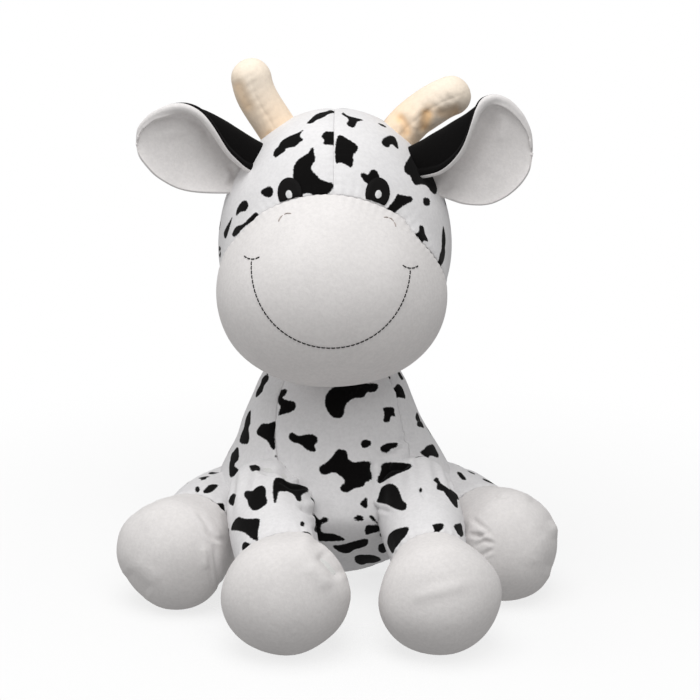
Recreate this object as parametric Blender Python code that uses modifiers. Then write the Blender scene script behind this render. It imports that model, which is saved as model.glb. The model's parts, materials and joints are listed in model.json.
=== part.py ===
"""A sitting plush cow: printed covers sewn from panels over polyester filling.

Metres, +Z up. The cow faces -Y, and the origin is on the floor under the torso's axis.
Each cover is a thin open cup or panel, and each filling lies inside its cover.
"""
from math import asin, atan2, cos, pi, radians, sin, sqrt

import bmesh
import bpy
from mathutils import Matrix, Vector

# Plush fabric, seams and clearances
FABRIC = 0.0016
SEAM_GAP = 0.0003
SEAT_GAP = 0.0005
FLOOR_FLAT = 0.0005
SPACE = 1.0

# Facets round the turned and rounded forms
TORSO_SIDES = 20
HEAD_SIDES = 24
HEAD_RINGS = 14
LIMB_SIDES = 16
BALL_STEPS = 4
SLEEVE_STEPS = 3
END_STEPS = 6
BALL_LIFT = 0.0001
HORN_RESOLUTION = 3
POST_SIDES = 16
THREAD_RESOLUTION = 1
TAIL_RESOLUTION = 2

# Torso, turned about the upright axis
TORSO_HEIGHT = 0.182
TORSO_RADIUS = 0.0935
TORSO_OUTLINE_SHARES = (
    (1.0, 0.0),
    (0.965, 0.41),
    (0.90, 0.57),
    (0.82, 0.65),
    (0.72, 0.73),
    (0.62, 0.81),
    (0.53, 0.93),
    (0.44, 1.0),
    (0.35, 0.98),
    (0.25, 0.89),
    (0.15, 0.73),
    (0.07, 0.53),
    (0.0, 0.22),
    (0.0, 0.0),
)
BODY_TURN = radians(4)
FRONT_PANEL_HALF_ANGLE = radians(44)

# Head: an egg shaped crown, sunk on the torso's top, with a broad snout in front
SKULL_FORWARD = 0.017
SKULL_SINK = 0.016
SKULL_HALF_WIDTH = 0.0865
SKULL_HALF_DEPTH = 0.086
SKULL_HALF_HEIGHT = 0.096
SKULL_TAPER_SHARE = 0.05
MUZZLE_FORWARD_SHARE = 0.465
MUZZLE_DROP_SHARE = 0.25
MUZZLE_HALF_WIDTH = 0.083
MUZZLE_HALF_DEPTH = 0.084
MUZZLE_HALF_HEIGHT = 0.076
MUZZLE_TAPER_SHARE = 0.14

# Front legs: from the shoulder, each swings about a crosswise line
SHOULDER_SIDE_SHARE = 0.588
SHOULDER_FORWARD_SHARE = 0.7145
SHOULDER_HEIGHT_SHARE = 0.4286
ARM_BALL_RADIUS = 0.0285
ARM_LEFT_LENGTH = 0.104
ARM_RIGHT_LENGTH = 0.110
ARM_CUFF_AT = 0.080
ARM_LEFT_CUFF_SHARE = 0.674
ARM_RIGHT_CUFF_SHARE = 0.6235
ARM_SWELL = 0.001
ARM_LEFT_SPREAD = radians(-10)
ARM_RIGHT_SPREAD = radians(7)
ARM_RAISES = (radians(15), radians(30), radians(45))
PAW_LEFT_RADIUS = 0.0445
PAW_RIGHT_RADIUS = 0.0425
PAW_END_LENGTH = 0.044

# Hind legs: from the hip, each splays about an upright line
HIP_SIDE_SHARE = 0.856
HIP_BACK_SHARE = 0.0856
HIP_HEIGHT_SHARE = 0.2308
LEG_BALL_RADIUS = 0.035
LEG_LENGTH = 0.097
LEG_CUFF_AT = 0.062
LEG_CUFF_SHARE = 0.807
LEG_SWELL = 0.003
LEG_LEFT_SPREAD = radians(22.4)
LEG_RIGHT_SPREAD = radians(29.3)
FOOT_RADIUS = 0.0415
FOOT_END_LENGTH = 0.038

# Ears: a leaf of two layers, rolled at the root and open at the tip
EAR_ROOT_SHARES = (0.6127, -0.3837, 0.6458)
EAR_LENGTH = 0.096
EAR_BACK_SHARE = 0.25
EAR_SWEEP_SHARE = 0.21
EAR_RISE = radians(8)
EAR_FOLD = radians(10)
EAR_COLUMNS = 10
# At places along an ear, shares of its length: its top, its lower rim and half its depth,
# then the degrees that its upper rim turns over the top and its lower rim turns under
EAR_LEFT_STATIONS = (
    (-0.06, 0.120, -0.230, 0.092, 194, 77), (0.098, 0.231, -0.241, 0.115, 190, 72),
    (0.199, 0.303, -0.242, 0.130, 177, 68), (0.273, 0.357, -0.242, 0.142, 165, 64),
    (0.385, 0.427, -0.238, 0.158, 138, 60), (0.500, 0.478, -0.230, 0.164, 117, 56),
    (0.640, 0.494, -0.203, 0.152, 102, 54), (0.760, 0.470, -0.145, 0.126, 93, 54),
    (0.870, 0.423, -0.060, 0.092, 87, 56), (0.950, 0.345, 0.050, 0.056, 83, 64),
    (0.993, 0.250, 0.160, 0.020, 80, 76),
)
EAR_RIGHT_STATIONS = (
    (-0.06, 0.060, -0.235, 0.092, 198, 77), (0.094, 0.154, -0.250, 0.115, 198, 72),
    (0.189, 0.216, -0.258, 0.130, 195, 68), (0.275, 0.269, -0.277, 0.142, 188, 64),
    (0.378, 0.340, -0.312, 0.156, 173, 61), (0.450, 0.388, -0.333, 0.164, 157, 58),
    (0.540, 0.460, -0.342, 0.166, 123, 56), (0.650, 0.524, -0.334, 0.158, 98, 55),
    (0.790, 0.503, -0.273, 0.130, 88, 55), (0.890, 0.415, -0.188, 0.096, 84, 59),
    (0.965, 0.285, -0.080, 0.055, 82, 68), (0.998, 0.150, 0.045, 0.020, 80, 77),
)

# Horns: bent stuffed tubes on the crown
HORN_RADIUS = 0.0147
HORN_LEFT_ROUTE_SHARES = (
    (-0.364, 0.081, 0.677),
    (-0.526, 0.081, 0.896),
    (-0.671, 0.070, 1.125),
    (-0.728, 0.058, 1.375),
)
HORN_RIGHT_ROUTE_SHARES = (
    (0.422, 0.081, 0.661),
    (0.647, 0.081, 0.896),
    (0.890, 0.070, 1.052),
    (1.145, 0.058, 1.141),
)
HORN_RADIUS_SHARES = (1.0, 1.0, 1.0, 1.0, 1.0, 1.0, 0.99, 0.98, 0.96, 0.84, 0.30)

# Face: embroidered eyes and sewn thread
EYE_SIDE_SHARE = 0.3526
EYE_RISE_SHARE = 0.4635
EYE_HALF_WIDTH = 0.0085
EYE_HALF_HEIGHT = 0.0100
EYE_THICKNESS = 0.0012
HIGHLIGHT_HALF_WIDTH = 0.0024
HIGHLIGHT_HALF_HEIGHT = 0.0027
HIGHLIGHT_THICKNESS = 0.0006
THREAD_RADIUS = 0.0006
MOUTH_RADIUS_SHARE = 0.660
MOUTH_SIDE_SHARE = -0.036
MOUTH_RISE_SHARE = 0.309
SNOUT_LEAN = radians(3)
MOUTH_POINTS = 25
TICK_HALF_LENGTH = 0.0058
NOSTRIL_SIDE_SHARE = 0.3916
NOSTRIL_RISE_SHARE = 0.730
NOSTRIL_RADIUS = 0.0085
NOSTRIL_LEAN = radians(35)
NOSTRIL_ARC = radians(40)
TICK_POINTS = 5

# Tail at the back of the torso
TAIL_RADIUS = 0.0060
TAIL_ROOT_HEIGHT_SHARE = 0.275
TAIL_LENGTH = 0.062
TUFT_LENGTH = 0.030
TUFT_RADIUS = 0.0095
TAIL_POINTS = 7
TAIL_ROOT_SHARES = (0.97, 0.70)
TAIL_BEND_SHARES = (0.4, 0.75)
TAIL_LEVEL_SHARE = 0.12
TUFT_RADIUS_SHARES = (0.62, 0.90, 1.0, 0.85, 0.40)

# Places that follow from the sizes above
SKULL_CENTRE = Vector((0.0, -SKULL_FORWARD, TORSO_HEIGHT - SKULL_SINK + SKULL_HALF_HEIGHT))
MUZZLE_CENTRE = SKULL_CENTRE + Vector((
    0.0,
    -SKULL_HALF_DEPTH * MUZZLE_FORWARD_SHARE,
    -SKULL_HALF_HEIGHT * MUZZLE_DROP_SHARE,
))
MOUTH_RADIUS = MUZZLE_HALF_WIDTH * MOUTH_RADIUS_SHARE
MOUTH_RISE = MUZZLE_HALF_HEIGHT * MOUTH_RISE_SHARE


def clear_scene():
    for item in list(bpy.data.objects):
        bpy.data.objects.remove(item, do_unlink=True)


def new_collection(name):
    collection = bpy.data.collections.new(name)
    bpy.context.scene.collection.children.link(collection)
    return collection


clear_scene()
PIECES = new_collection("plush_cow")
CUTTERS = new_collection("cutters")


def fabric_material(name, colour, roughness=0.9):
    material = bpy.data.materials.new(name)
    material.use_nodes = True
    shader = material.node_tree.nodes["Principled BSDF"]
    shader.inputs["Base Color"].default_value = (*colour, 1.0)
    shader.inputs["Roughness"].default_value = roughness
    shader.inputs["Metallic"].default_value = 0.0
    return material


PRINT_PLUSH = fabric_material("print_plush", (0.80, 0.80, 0.80))
WHITE_PLUSH = fabric_material("white_plush", (0.88, 0.86, 0.86))
BLACK_PLUSH = fabric_material("black_plush", (0.012, 0.012, 0.013))
CREAM_PLUSH = fabric_material("cream_plush", (0.92, 0.71, 0.46))
FILLING = fabric_material("polyester_filling", (0.85, 0.85, 0.83), 1.0)
BLACK_THREAD = fabric_material("black_thread", (0.02, 0.02, 0.02), 0.6)
WHITE_THREAD = fabric_material("white_thread", (0.9, 0.9, 0.9), 0.6)


def add_object(name, mesh, material=None, parent=None):
    """A piece where a material is given, and otherwise a cutter."""
    item = bpy.data.objects.new(name, mesh)
    if material:
        PIECES.objects.link(item)
        mesh.materials.append(material)
    else:
        CUTTERS.objects.link(item)
        item.hide_render = True
        item.display_type = "WIRE"
    item.parent = parent
    return item


def joint_empty(name, place):
    """The empty that a moving piece hangs on, with its origin on the joint's axis."""
    empty = bpy.data.objects.new(name, None)
    PIECES.objects.link(empty)
    empty.matrix_world = place
    return empty


def boolean(item, cutter, operation="DIFFERENCE"):
    """Thin cups meet their cutters at grazing angles, which the manifold solver closes."""
    modifier = item.modifiers.new(operation.title(), "BOOLEAN")
    modifier.operation = operation
    modifier.object = cutter
    modifier.solver = "MANIFOLD"


def turned(name, outline, sides, material=None, parent=None, place=None):
    """A form turned about its own Z from an outline of (radius, height), top to bottom."""
    mesh = bpy.data.meshes.new(name)
    points = [(radius, 0.0, height) for radius, height in outline]
    edges = [(index, index + 1) for index in range(len(points) - 1)]
    mesh.from_pydata(points, edges, [])
    item = add_object(name, mesh, material, parent)
    if place:
        item.matrix_world = place
    screw = item.modifiers.new("Turn", "SCREW")
    screw.axis = "Z"
    screw.angle = 2 * pi
    screw.steps = sides
    screw.render_steps = sides
    screw.use_merge_vertices = True
    screw.merge_threshold = 0.00001
    return item


def egg(name, centre, half_sizes, taper_share, grow=0.0, material=None, parent=None):
    """An ellipsoid that narrows towards its top by a share of its width."""
    mesh = bpy.data.meshes.new(name)
    form = bmesh.new()
    scale = Matrix.Diagonal([*(size + grow for size in half_sizes), 1.0])
    bmesh.ops.create_uvsphere(
        form,
        u_segments=HEAD_SIDES,
        v_segments=HEAD_RINGS,
        radius=1.0,
    )
    for vertex in form.verts:
        vertex.co.x *= 1.0 - taper_share * vertex.co.z
    form.transform(Matrix.Translation(centre) @ scale)
    form.to_mesh(mesh)
    form.free()
    return add_object(name, mesh, material, parent)


def half_space(name, direction, offset):
    """A box whose near face is square to a direction from the axis, at an offset along it."""
    mesh = bpy.data.meshes.new(name)
    form = bmesh.new()
    turn = direction.to_track_quat("Z", "Y").to_matrix().to_4x4()
    lift = Matrix.Translation(direction * (offset + SPACE / 2))
    bmesh.ops.create_cube(form, size=SPACE, matrix=lift @ turn)
    form.to_mesh(mesh)
    form.free()
    return add_object(name, mesh)


def offset_outline(outline, distance):
    """The outline moved outward by a distance, with its ends kept on the axis."""
    moved = []
    last = len(outline) - 1
    for index, (radius, height) in enumerate(outline):
        sides = []
        for first, second in ((index - 1, index), (index, index + 1)):
            if first >= 0 and second <= last:
                run = Vector(outline[second]) - Vector(outline[first])
                sides.append(Vector((-run.y, run.x)).normalized())
        if radius == 0.0:
            sides = [Vector((0.0, side.y)) if abs(side.y) > 0 else side for side in sides]
            side = sides[0].normalized()
            moved.append((0.0, height + side.y * distance))
            continue
        side = sum(sides, Vector((0.0, 0.0))).normalized()
        reach = distance / max(side.dot(sides[0]), 0.3)
        moved.append((radius + side.x * reach, height + side.y * reach))
    return moved


def running_radius(radius, sides):
    """The radius of a faceted socket whose flats stay clear of what turns in it."""
    return (radius + SEAM_GAP) / cos(pi / sides) ** 2


def torso_outline(grow=0.0, turning=False):
    """The torso's outline. Turning widens it so that a faceted hollow can turn round it."""
    outline = [
        (TORSO_RADIUS * radius_share, TORSO_HEIGHT * height_share)
        for height_share, radius_share in TORSO_OUTLINE_SHARES
    ]
    widen = 1.0 / cos(pi / TORSO_SIDES) if turning else 1.0
    return [(radius * widen, height) for radius, height in offset_outline(outline, grow)]


def limb_outline(limb, grow=0.0):
    """Sleeve and end outlines of a limb that points down its own Z from its joint."""
    sleeve = []
    for step in range(BALL_STEPS + 1):
        angle = pi / 2 * (1 - step / BALL_STEPS)
        radius = limb["ball"] * cos(angle) if step else 0.0
        sleeve.append((radius, limb["ball"] * sin(angle)))
    for step in range(1, SLEEVE_STEPS + 1):
        share = step / SLEEVE_STEPS
        radius = limb["ball"] + (limb["cuff_radius"] - limb["ball"]) * share
        sleeve.append((radius + limb["swell"] * sin(pi * share), -limb["cuff_at"] * share))
    end = []
    shrink = sqrt(1 - (limb["cuff_radius"] / limb["end_radius"]) ** 2)
    shoulder_length = (limb["length"] - limb["cuff_at"]) / shrink
    first_angle = -asin(shrink)
    for step in range(1, END_STEPS + 1):
        angle = first_angle + (pi / 2 - first_angle) * step / END_STEPS
        reach = limb["end_length"] if angle > 0 else shoulder_length
        radius = limb["end_radius"] * cos(angle) if step < END_STEPS else 0.0
        end.append((radius, -limb["length"] - reach * sin(angle)))
    moved = offset_outline(sleeve + end, grow)
    cuff = len(sleeve)
    return moved[:cuff], moved[cuff - 1:]


def half_circle_outline(radius, steps):
    angles = [pi / 2 - pi * step / steps for step in range(steps + 1)]
    inner = [(radius * cos(angle), radius * sin(angle)) for angle in angles[1:-1]]
    return [(0.0, radius)] + inner + [(0.0, -radius)]


def limb_place(joint, direction):
    """Stands a limb on its joint, with its own -Z along its direction."""
    turn = (-direction).to_track_quat("Z", "Y").to_matrix().to_4x4()
    return Matrix.Translation(joint) @ turn


def limb_direction(length, drop, spread):
    """Forward and down, turned outward (towards +X) by the spread."""
    level = sqrt(length**2 - drop**2)
    return Vector((sin(spread) * level, -cos(spread) * level, -drop)) / length


def body_point(side_share, back_share, height_share):
    """A place on the torso by shares of its sizes. It sits turned a little from the head."""
    place = Vector((
        TORSO_RADIUS * side_share,
        TORSO_RADIUS * back_share,
        TORSO_HEIGHT * height_share,
    ))
    return Matrix.Rotation(BODY_TURN, 3, "Z") @ place


def front_legs():
    limbs = []
    for side, sign, length, spread, cuff_share, radius in (
        ("left", -1, ARM_LEFT_LENGTH, ARM_LEFT_SPREAD, ARM_LEFT_CUFF_SHARE, PAW_LEFT_RADIUS),
        ("right", 1, ARM_RIGHT_LENGTH, ARM_RIGHT_SPREAD, ARM_RIGHT_CUFF_SHARE,
         PAW_RIGHT_RADIUS),
    ):
        joint = body_point(sign * SHOULDER_SIDE_SHARE, -SHOULDER_FORWARD_SHARE,
                           SHOULDER_HEIGHT_SHARE)
        drop = joint.z - (radius - FLOOR_FLAT)
        direction = limb_direction(length, drop, sign * spread)
        limbs.append({
            "name": f"arm_{side}",
            "sleeve_name": f"arm_{side}_sleeve",
            "end_name": f"arm_{side}_paw",
            "place": limb_place(joint, direction),
            "ball": ARM_BALL_RADIUS,
            "swell": ARM_SWELL,
            "cuff_at": ARM_CUFF_AT,
            "cuff_radius": radius * cuff_share,
            "length": length,
            "end_radius": radius,
            "end_length": PAW_END_LENGTH,
            "raises": ARM_RAISES,
        })
    return limbs


def hind_legs():
    limbs = []
    for side, sign, spread in (("left", -1, LEG_LEFT_SPREAD), ("right", 1, LEG_RIGHT_SPREAD)):
        joint = body_point(sign * HIP_SIDE_SHARE, HIP_BACK_SHARE, HIP_HEIGHT_SHARE)
        drop = joint.z - (FOOT_RADIUS - FLOOR_FLAT)
        limbs.append({
            "name": f"leg_{side}",
            "sleeve_name": f"leg_{side}_thigh",
            "end_name": f"leg_{side}_foot",
            "place": limb_place(joint, limb_direction(LEG_LENGTH, drop, sign * spread)),
            "ball": LEG_BALL_RADIUS,
            "swell": LEG_SWELL,
            "cuff_at": LEG_CUFF_AT,
            "cuff_radius": FOOT_RADIUS * LEG_CUFF_SHARE,
            "length": LEG_LENGTH,
            "end_radius": FOOT_RADIUS,
            "end_length": FOOT_END_LENGTH,
            "raises": (),
        })
    return limbs


LIMBS = front_legs() + hind_legs()


def limb_ball(name, limb, radius):
    """A ball round a limb's joint, with its facets in line with the limb's own."""
    outline = half_circle_outline(radius, 2 * BALL_STEPS)
    return turned(name, outline, LIMB_SIDES, place=limb["place"])


def torso_with_sockets(name, grow, socket_grow, material=None):
    item = turned(name, torso_outline(grow), TORSO_SIDES, material)
    for limb in LIMBS:
        radius = running_radius(limb["ball"] + BALL_LIFT, LIMB_SIDES) + socket_grow
        boolean(item, limb_ball(f"{name}_{limb['name']}_socket", limb, radius))
    return item


def build_torso():
    hollow = torso_with_sockets("torso_hollow", -FABRIC, FABRIC)
    left_seam = -pi / 2 - FRONT_PANEL_HALF_ANGLE + BODY_TURN
    right_seam = -pi / 2 + FRONT_PANEL_HALF_ANGLE + BODY_TURN
    back_seam = pi / 2 + BODY_TURN
    for name, first, second in (
        ("torso_front_panel", left_seam, right_seam),
        ("torso_back_right_panel", right_seam, back_seam),
        ("torso_back_left_panel", back_seam, left_seam + 2 * pi),
    ):
        panel = torso_with_sockets(name, 0.0, 0.0, PRINT_PLUSH)
        boolean(panel, hollow)
        for seam, turn in ((first, pi / 2), (second, -pi / 2)):
            inward = Vector((cos(seam + turn), sin(seam + turn), 0.0))
            boolean(panel, half_space(f"{name}_seam", inward, SEAM_GAP / 2), "INTERSECT")
    torso_with_sockets("torso_filling", -FABRIC - SEAM_GAP, FABRIC + SEAM_GAP, FILLING)


def build_limb(limb):
    """Sleeve and end cups with one filling, trimmed to the torso wherever the limb swings."""
    place = limb["place"]
    name = limb["name"]
    empty = joint_empty(f"{name}_joint", place)
    outer_sleeve, outer_end = limb_outline(limb)
    inner_sleeve, inner_end = limb_outline(limb, -FABRIC)
    outer_end[0] = (outer_end[0][0], outer_end[0][1] - SEAM_GAP)
    inner_end[0] = (inner_end[0][0], inner_end[0][1] - SEAM_GAP)
    full_sleeve, full_end = limb_outline(limb, -FABRIC - SEAM_GAP)
    joint = place.translation
    cutters = [half_space(f"{name}_floor", Vector((0.0, 0.0, -1.0)), 0.0)]
    for raised in (0.0, *limb["raises"]):
        swing = Matrix.Rotation(raised, 4, "X")
        around = Matrix.Translation(joint) @ swing @ Matrix.Translation(-joint)
        stay = turned(f"{name}_stay", torso_outline(SEAT_GAP), TORSO_SIDES, place=around)
        boolean(stay, limb_ball(f"{name}_stay_ball", limb, limb["ball"] + BALL_LIFT))
        cutters.append(stay)
    for piece, outline, material in (
        (limb["sleeve_name"], outer_sleeve + inner_sleeve[::-1], PRINT_PLUSH),
        (limb["end_name"], inner_end[::-1] + outer_end, WHITE_PLUSH),
        (f"{name}_filling", full_sleeve + full_end[1:], FILLING),
    ):
        item = turned(piece, outline, LIMB_SIDES, material, empty)
        for cutter in cutters:
            boolean(item, cutter)


def skull(name, grow=0.0, material=None, parent=None):
    sizes = (SKULL_HALF_WIDTH, SKULL_HALF_DEPTH, SKULL_HALF_HEIGHT)
    return egg(name, SKULL_CENTRE, sizes, SKULL_TAPER_SHARE, grow, material, parent)


def muzzle(name, grow=0.0, material=None, parent=None):
    sizes = (MUZZLE_HALF_WIDTH, MUZZLE_HALF_DEPTH, MUZZLE_HALF_HEIGHT)
    return egg(name, MUZZLE_CENTRE, sizes, MUZZLE_TAPER_SHARE, grow, material, parent)


def build_head(head):
    """Crown panels and muzzle over one filling, hollowed below to sit on the torso's top."""
    neck = turned("neck_hollow", torso_outline(SEAM_GAP, True), TORSO_SIDES)
    skull_inside = skull("skull_inside", -FABRIC)
    muzzle_inside = muzzle("muzzle_inside", -FABRIC)
    muzzle_room = muzzle("muzzle_room", SEAM_GAP)
    for side, sign in (("left", -1), ("right", 1)):
        panel = skull(f"crown_{side}_panel", 0.0, PRINT_PLUSH, head)
        boolean(panel, half_space(f"crown_{side}_seam", Vector((sign, 0, 0)), SEAM_GAP / 2),
                "INTERSECT")
        boolean(panel, skull_inside)
        boolean(panel, muzzle_room)
        boolean(panel, neck)
    front = muzzle("muzzle_panel", 0.0, WHITE_PLUSH, head)
    boolean(front, skull_inside)
    boolean(front, muzzle_inside)
    boolean(front, neck)
    filling = skull("head_filling", -FABRIC - SEAM_GAP, FILLING, head)
    boolean(filling, muzzle("muzzle_filling", -FABRIC - SEAM_GAP), "UNION")
    boolean(filling, neck)


def blend_value(first, second, share):
    return first + (second - first) * share


def on_crown(side_share, back_share, rise_share):
    """A place by shares of the skull's half sizes from its centre."""
    return SKULL_CENTRE + Vector((
        SKULL_HALF_WIDTH * side_share,
        SKULL_HALF_DEPTH * back_share,
        SKULL_HALF_HEIGHT * rise_share,
    ))


def ear_frame(sign):
    """Root centre, then the directions along, across (up) and open (forward) of an ear."""
    side_share, back_share, rise_share = EAR_ROOT_SHARES
    root = on_crown(sign * side_share, back_share, rise_share)
    level = Vector((sign, 0.0, 0.0))
    along = level * cos(EAR_RISE) + Vector((0.0, 0.0, sin(EAR_RISE)))
    across = Vector((0.0, 0.0, cos(EAR_RISE))) - level * sin(EAR_RISE)
    opening = along.cross(across) * -sign
    return root, along, across, opening


def ear_point(sign, row, across_share):
    """A point of the leaf: across_share runs from -1, the lower rim, to 1, the upper rim."""
    root = ear_frame(sign)[0]
    stations = EAR_LEFT_STATIONS if sign < 0 else EAR_RIGHT_STATIONS
    along, top, bottom, depth, over, under = stations[row]
    over, under = radians(over), radians(under)
    half = (top - bottom) / (sin(min(over, pi / 2)) + sin(under))
    angle = blend_value(-under, over, (across_share + 1) / 2)
    back = EAR_BACK_SHARE - EAR_SWEEP_SHARE * along - depth * (1 - cos(angle))
    rise = bottom + half * (sin(under) + sin(angle))
    return root + Vector((sign * along, back, rise)) * EAR_LENGTH


def ear_leaf(name, sign, material, parent, gap, side):
    mesh = bpy.data.meshes.new(name)
    form = bmesh.new()
    rows = len(EAR_LEFT_STATIONS if sign < 0 else EAR_RIGHT_STATIONS) - 1
    bmesh.ops.create_grid(form, x_segments=rows, y_segments=EAR_COLUMNS, size=1.0)
    bmesh.ops.triangulate(form, faces=form.faces)
    for vertex in form.verts:
        vertex.co = ear_point(sign, round((vertex.co.x + 1) / 2 * rows), vertex.co.y)
    form.to_mesh(mesh)
    form.free()
    leaf = add_object(name, mesh, material, parent)
    shift = leaf.modifiers.new("Layer", "DISPLACE")
    shift.strength = gap
    shift.mid_level = 0.0
    wall = leaf.modifiers.new("Fabric", "SOLIDIFY")
    wall.thickness = FABRIC
    wall.offset = side
    wall.use_even_offset = True
    return leaf


def build_ears(head):
    """Two layers an ear, trimmed to the crown as it folds about its root."""
    for side, sign in (("left", -1), ("right", 1)):
        root, along, across, opening = ear_frame(sign)
        empty = joint_empty(f"ear_{side}_joint", Matrix.Translation(root))
        empty.parent = head
        facing = 1 if sign < 0 else -1
        leaves = (
            ear_leaf(f"ear_{side}_front", sign, WHITE_PLUSH, None, 0.0, facing),
            ear_leaf(f"ear_{side}_back", sign, BLACK_PLUSH, None, -facing * SEAM_GAP, -facing),
        )
        for fold in (-EAR_FOLD, EAR_FOLD):
            room = skull(f"ear_{side}_room", SEAM_GAP)
            swing = Matrix.Rotation(fold, 4, across)
            room.matrix_world = Matrix.Translation(root) @ swing @ Matrix.Translation(-root)
            for leaf in leaves:
                boolean(leaf, room)
        for leaf in leaves:
            leaf.parent = empty
            leaf.matrix_parent_inverse = Matrix.Translation(-root)


def smooth_points(points, count):
    """Points along a smooth curve through the given ones."""
    ends = [points[0] * 2 - points[1]] + list(points) + [points[-1] * 2 - points[-2]]
    spans = len(points) - 1
    result = []
    for step in range(count):
        place = spans * step / (count - 1)
        span = min(int(place), spans - 1)
        t = place - span
        before, first, second, after = ends[span:span + 4]
        result.append(
            (first * 2 + (second - before) * t
             + (before * 2 - first * 5 + second * 4 - after) * t**2
             + (first * 3 - before - second * 3 + after) * t**3) / 2
        )
    return result


def tube(name, points, radii, sides_level, material=None, parent=None):
    """A tube along points, with a radius at each and its caps welded on."""
    curve = bpy.data.curves.new(name, "CURVE")
    curve.dimensions = "3D"
    curve.bevel_depth = max(radii)
    curve.bevel_resolution = sides_level
    curve.use_fill_caps = True
    spline = curve.splines.new("POLY")
    spline.points.add(len(points) - 1)
    for point, place, radius in zip(spline.points, points, radii):
        point.co = (*place, 1.0)
        point.radius = radius / max(radii)
    source = bpy.data.objects.new(name, curve)
    CUTTERS.objects.link(source)
    bpy.context.view_layer.update()
    evaluated = source.evaluated_get(bpy.context.evaluated_depsgraph_get())
    mesh = bpy.data.meshes.new_from_object(evaluated)
    bpy.data.objects.remove(source, do_unlink=True)
    form = bmesh.new()
    form.from_mesh(mesh)
    bmesh.ops.remove_doubles(form, verts=form.verts, dist=0.00001)
    form.to_mesh(mesh)
    form.free()
    mesh.materials.clear()
    return add_object(name, mesh, material, parent)


def horn_tube(name, route, wall, material=None, parent=None):
    """A horn's tube drawn in by a wall at its sides and tip."""
    places = [on_crown(*shares) for shares in route]
    points = smooth_points(places, len(HORN_RADIUS_SHARES))
    reach = (points[-1] - points[-2]).normalized()
    points[-1] = points[-1] - reach * wall
    radii = [HORN_RADIUS * share - wall for share in HORN_RADIUS_SHARES]
    return tube(name, points, radii, HORN_RESOLUTION, material, parent)


def build_horns(head):
    room = skull("horn_room", SEAM_GAP)
    for side, route in (("left", HORN_LEFT_ROUTE_SHARES), ("right", HORN_RIGHT_ROUTE_SHARES)):
        cover = horn_tube(f"horn_{side}_cover", route, 0.0, CREAM_PLUSH, head)
        boolean(cover, room)
        boolean(cover, horn_tube(f"horn_{side}_inside", route, FABRIC))
        filling = horn_tube(f"horn_{side}_filling", route, FABRIC + SEAM_GAP, FILLING, head)
        boolean(filling, room)


def oval_post(name, side, height, half_width, half_height):
    """A long oval bar, level and forward from inside the head, that cuts a patch."""
    mesh = bpy.data.meshes.new(name)
    form = bmesh.new()
    scale = Matrix.Diagonal([half_width, SPACE, half_height, 1.0])
    level = Matrix.Rotation(pi / 2, 4, "X")
    place = Matrix.Translation((side, SKULL_CENTRE.y - SPACE / 2, height))
    bmesh.ops.create_cone(form, cap_ends=True, segments=POST_SIDES, radius1=1.0, radius2=1.0,
                          depth=1.0, matrix=place @ scale @ level)
    form.to_mesh(mesh)
    form.free()
    return add_object(name, mesh)


def build_patch(name, side, sizes, lift, thickness, material, head):
    """A raised oval that follows the crown, standing over it by the lift."""
    patch = skull(name, lift + thickness, material, head)
    height = SKULL_CENTRE.z + SKULL_HALF_HEIGHT * EYE_RISE_SHARE
    boolean(patch, oval_post(f"{name}_post", side, height, *sizes), "INTERSECT")
    boolean(patch, skull(f"{name}_under", lift))
    boolean(patch, muzzle(f"{name}_muzzle_room", SEAM_GAP))


def build_eyes(head):
    for side, sign in (("left", -1), ("right", 1)):
        eye = (EYE_HALF_WIDTH, EYE_HALF_HEIGHT)
        spot = (HIGHLIGHT_HALF_WIDTH, HIGHLIGHT_HALF_HEIGHT)
        centre = sign * SKULL_HALF_WIDTH * EYE_SIDE_SHARE
        build_patch(f"eye_{side}", centre, eye, SEAM_GAP, EYE_THICKNESS, BLACK_THREAD, head)
        build_patch(f"eye_{side}_highlight", centre, spot, SEAM_GAP * 2 + EYE_THICKNESS,
                    HIGHLIGHT_THICKNESS, WHITE_THREAD, head)


def on_muzzle(side, rise):
    """The place of a thread that lies on the snout, from the leaning centre of its face."""
    lift = THREAD_RADIUS + SEAM_GAP
    place = Matrix.Rotation(SNOUT_LEAN, 3, "Y") @ Vector((side, 0.0, rise))
    up_share = place.z / (MUZZLE_HALF_HEIGHT + lift)
    half_width = (MUZZLE_HALF_WIDTH + lift) * (1.0 - MUZZLE_TAPER_SHARE * up_share)
    side_share = place.x / half_width
    depth = (MUZZLE_HALF_DEPTH + lift) * sqrt(1 - side_share**2 - up_share**2)
    return MUZZLE_CENTRE + Vector((place.x, -depth, place.z))


def thread(name, points, material, head):
    tube(name, points, [THREAD_RADIUS] * len(points), THREAD_RESOLUTION, material, head)


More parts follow.
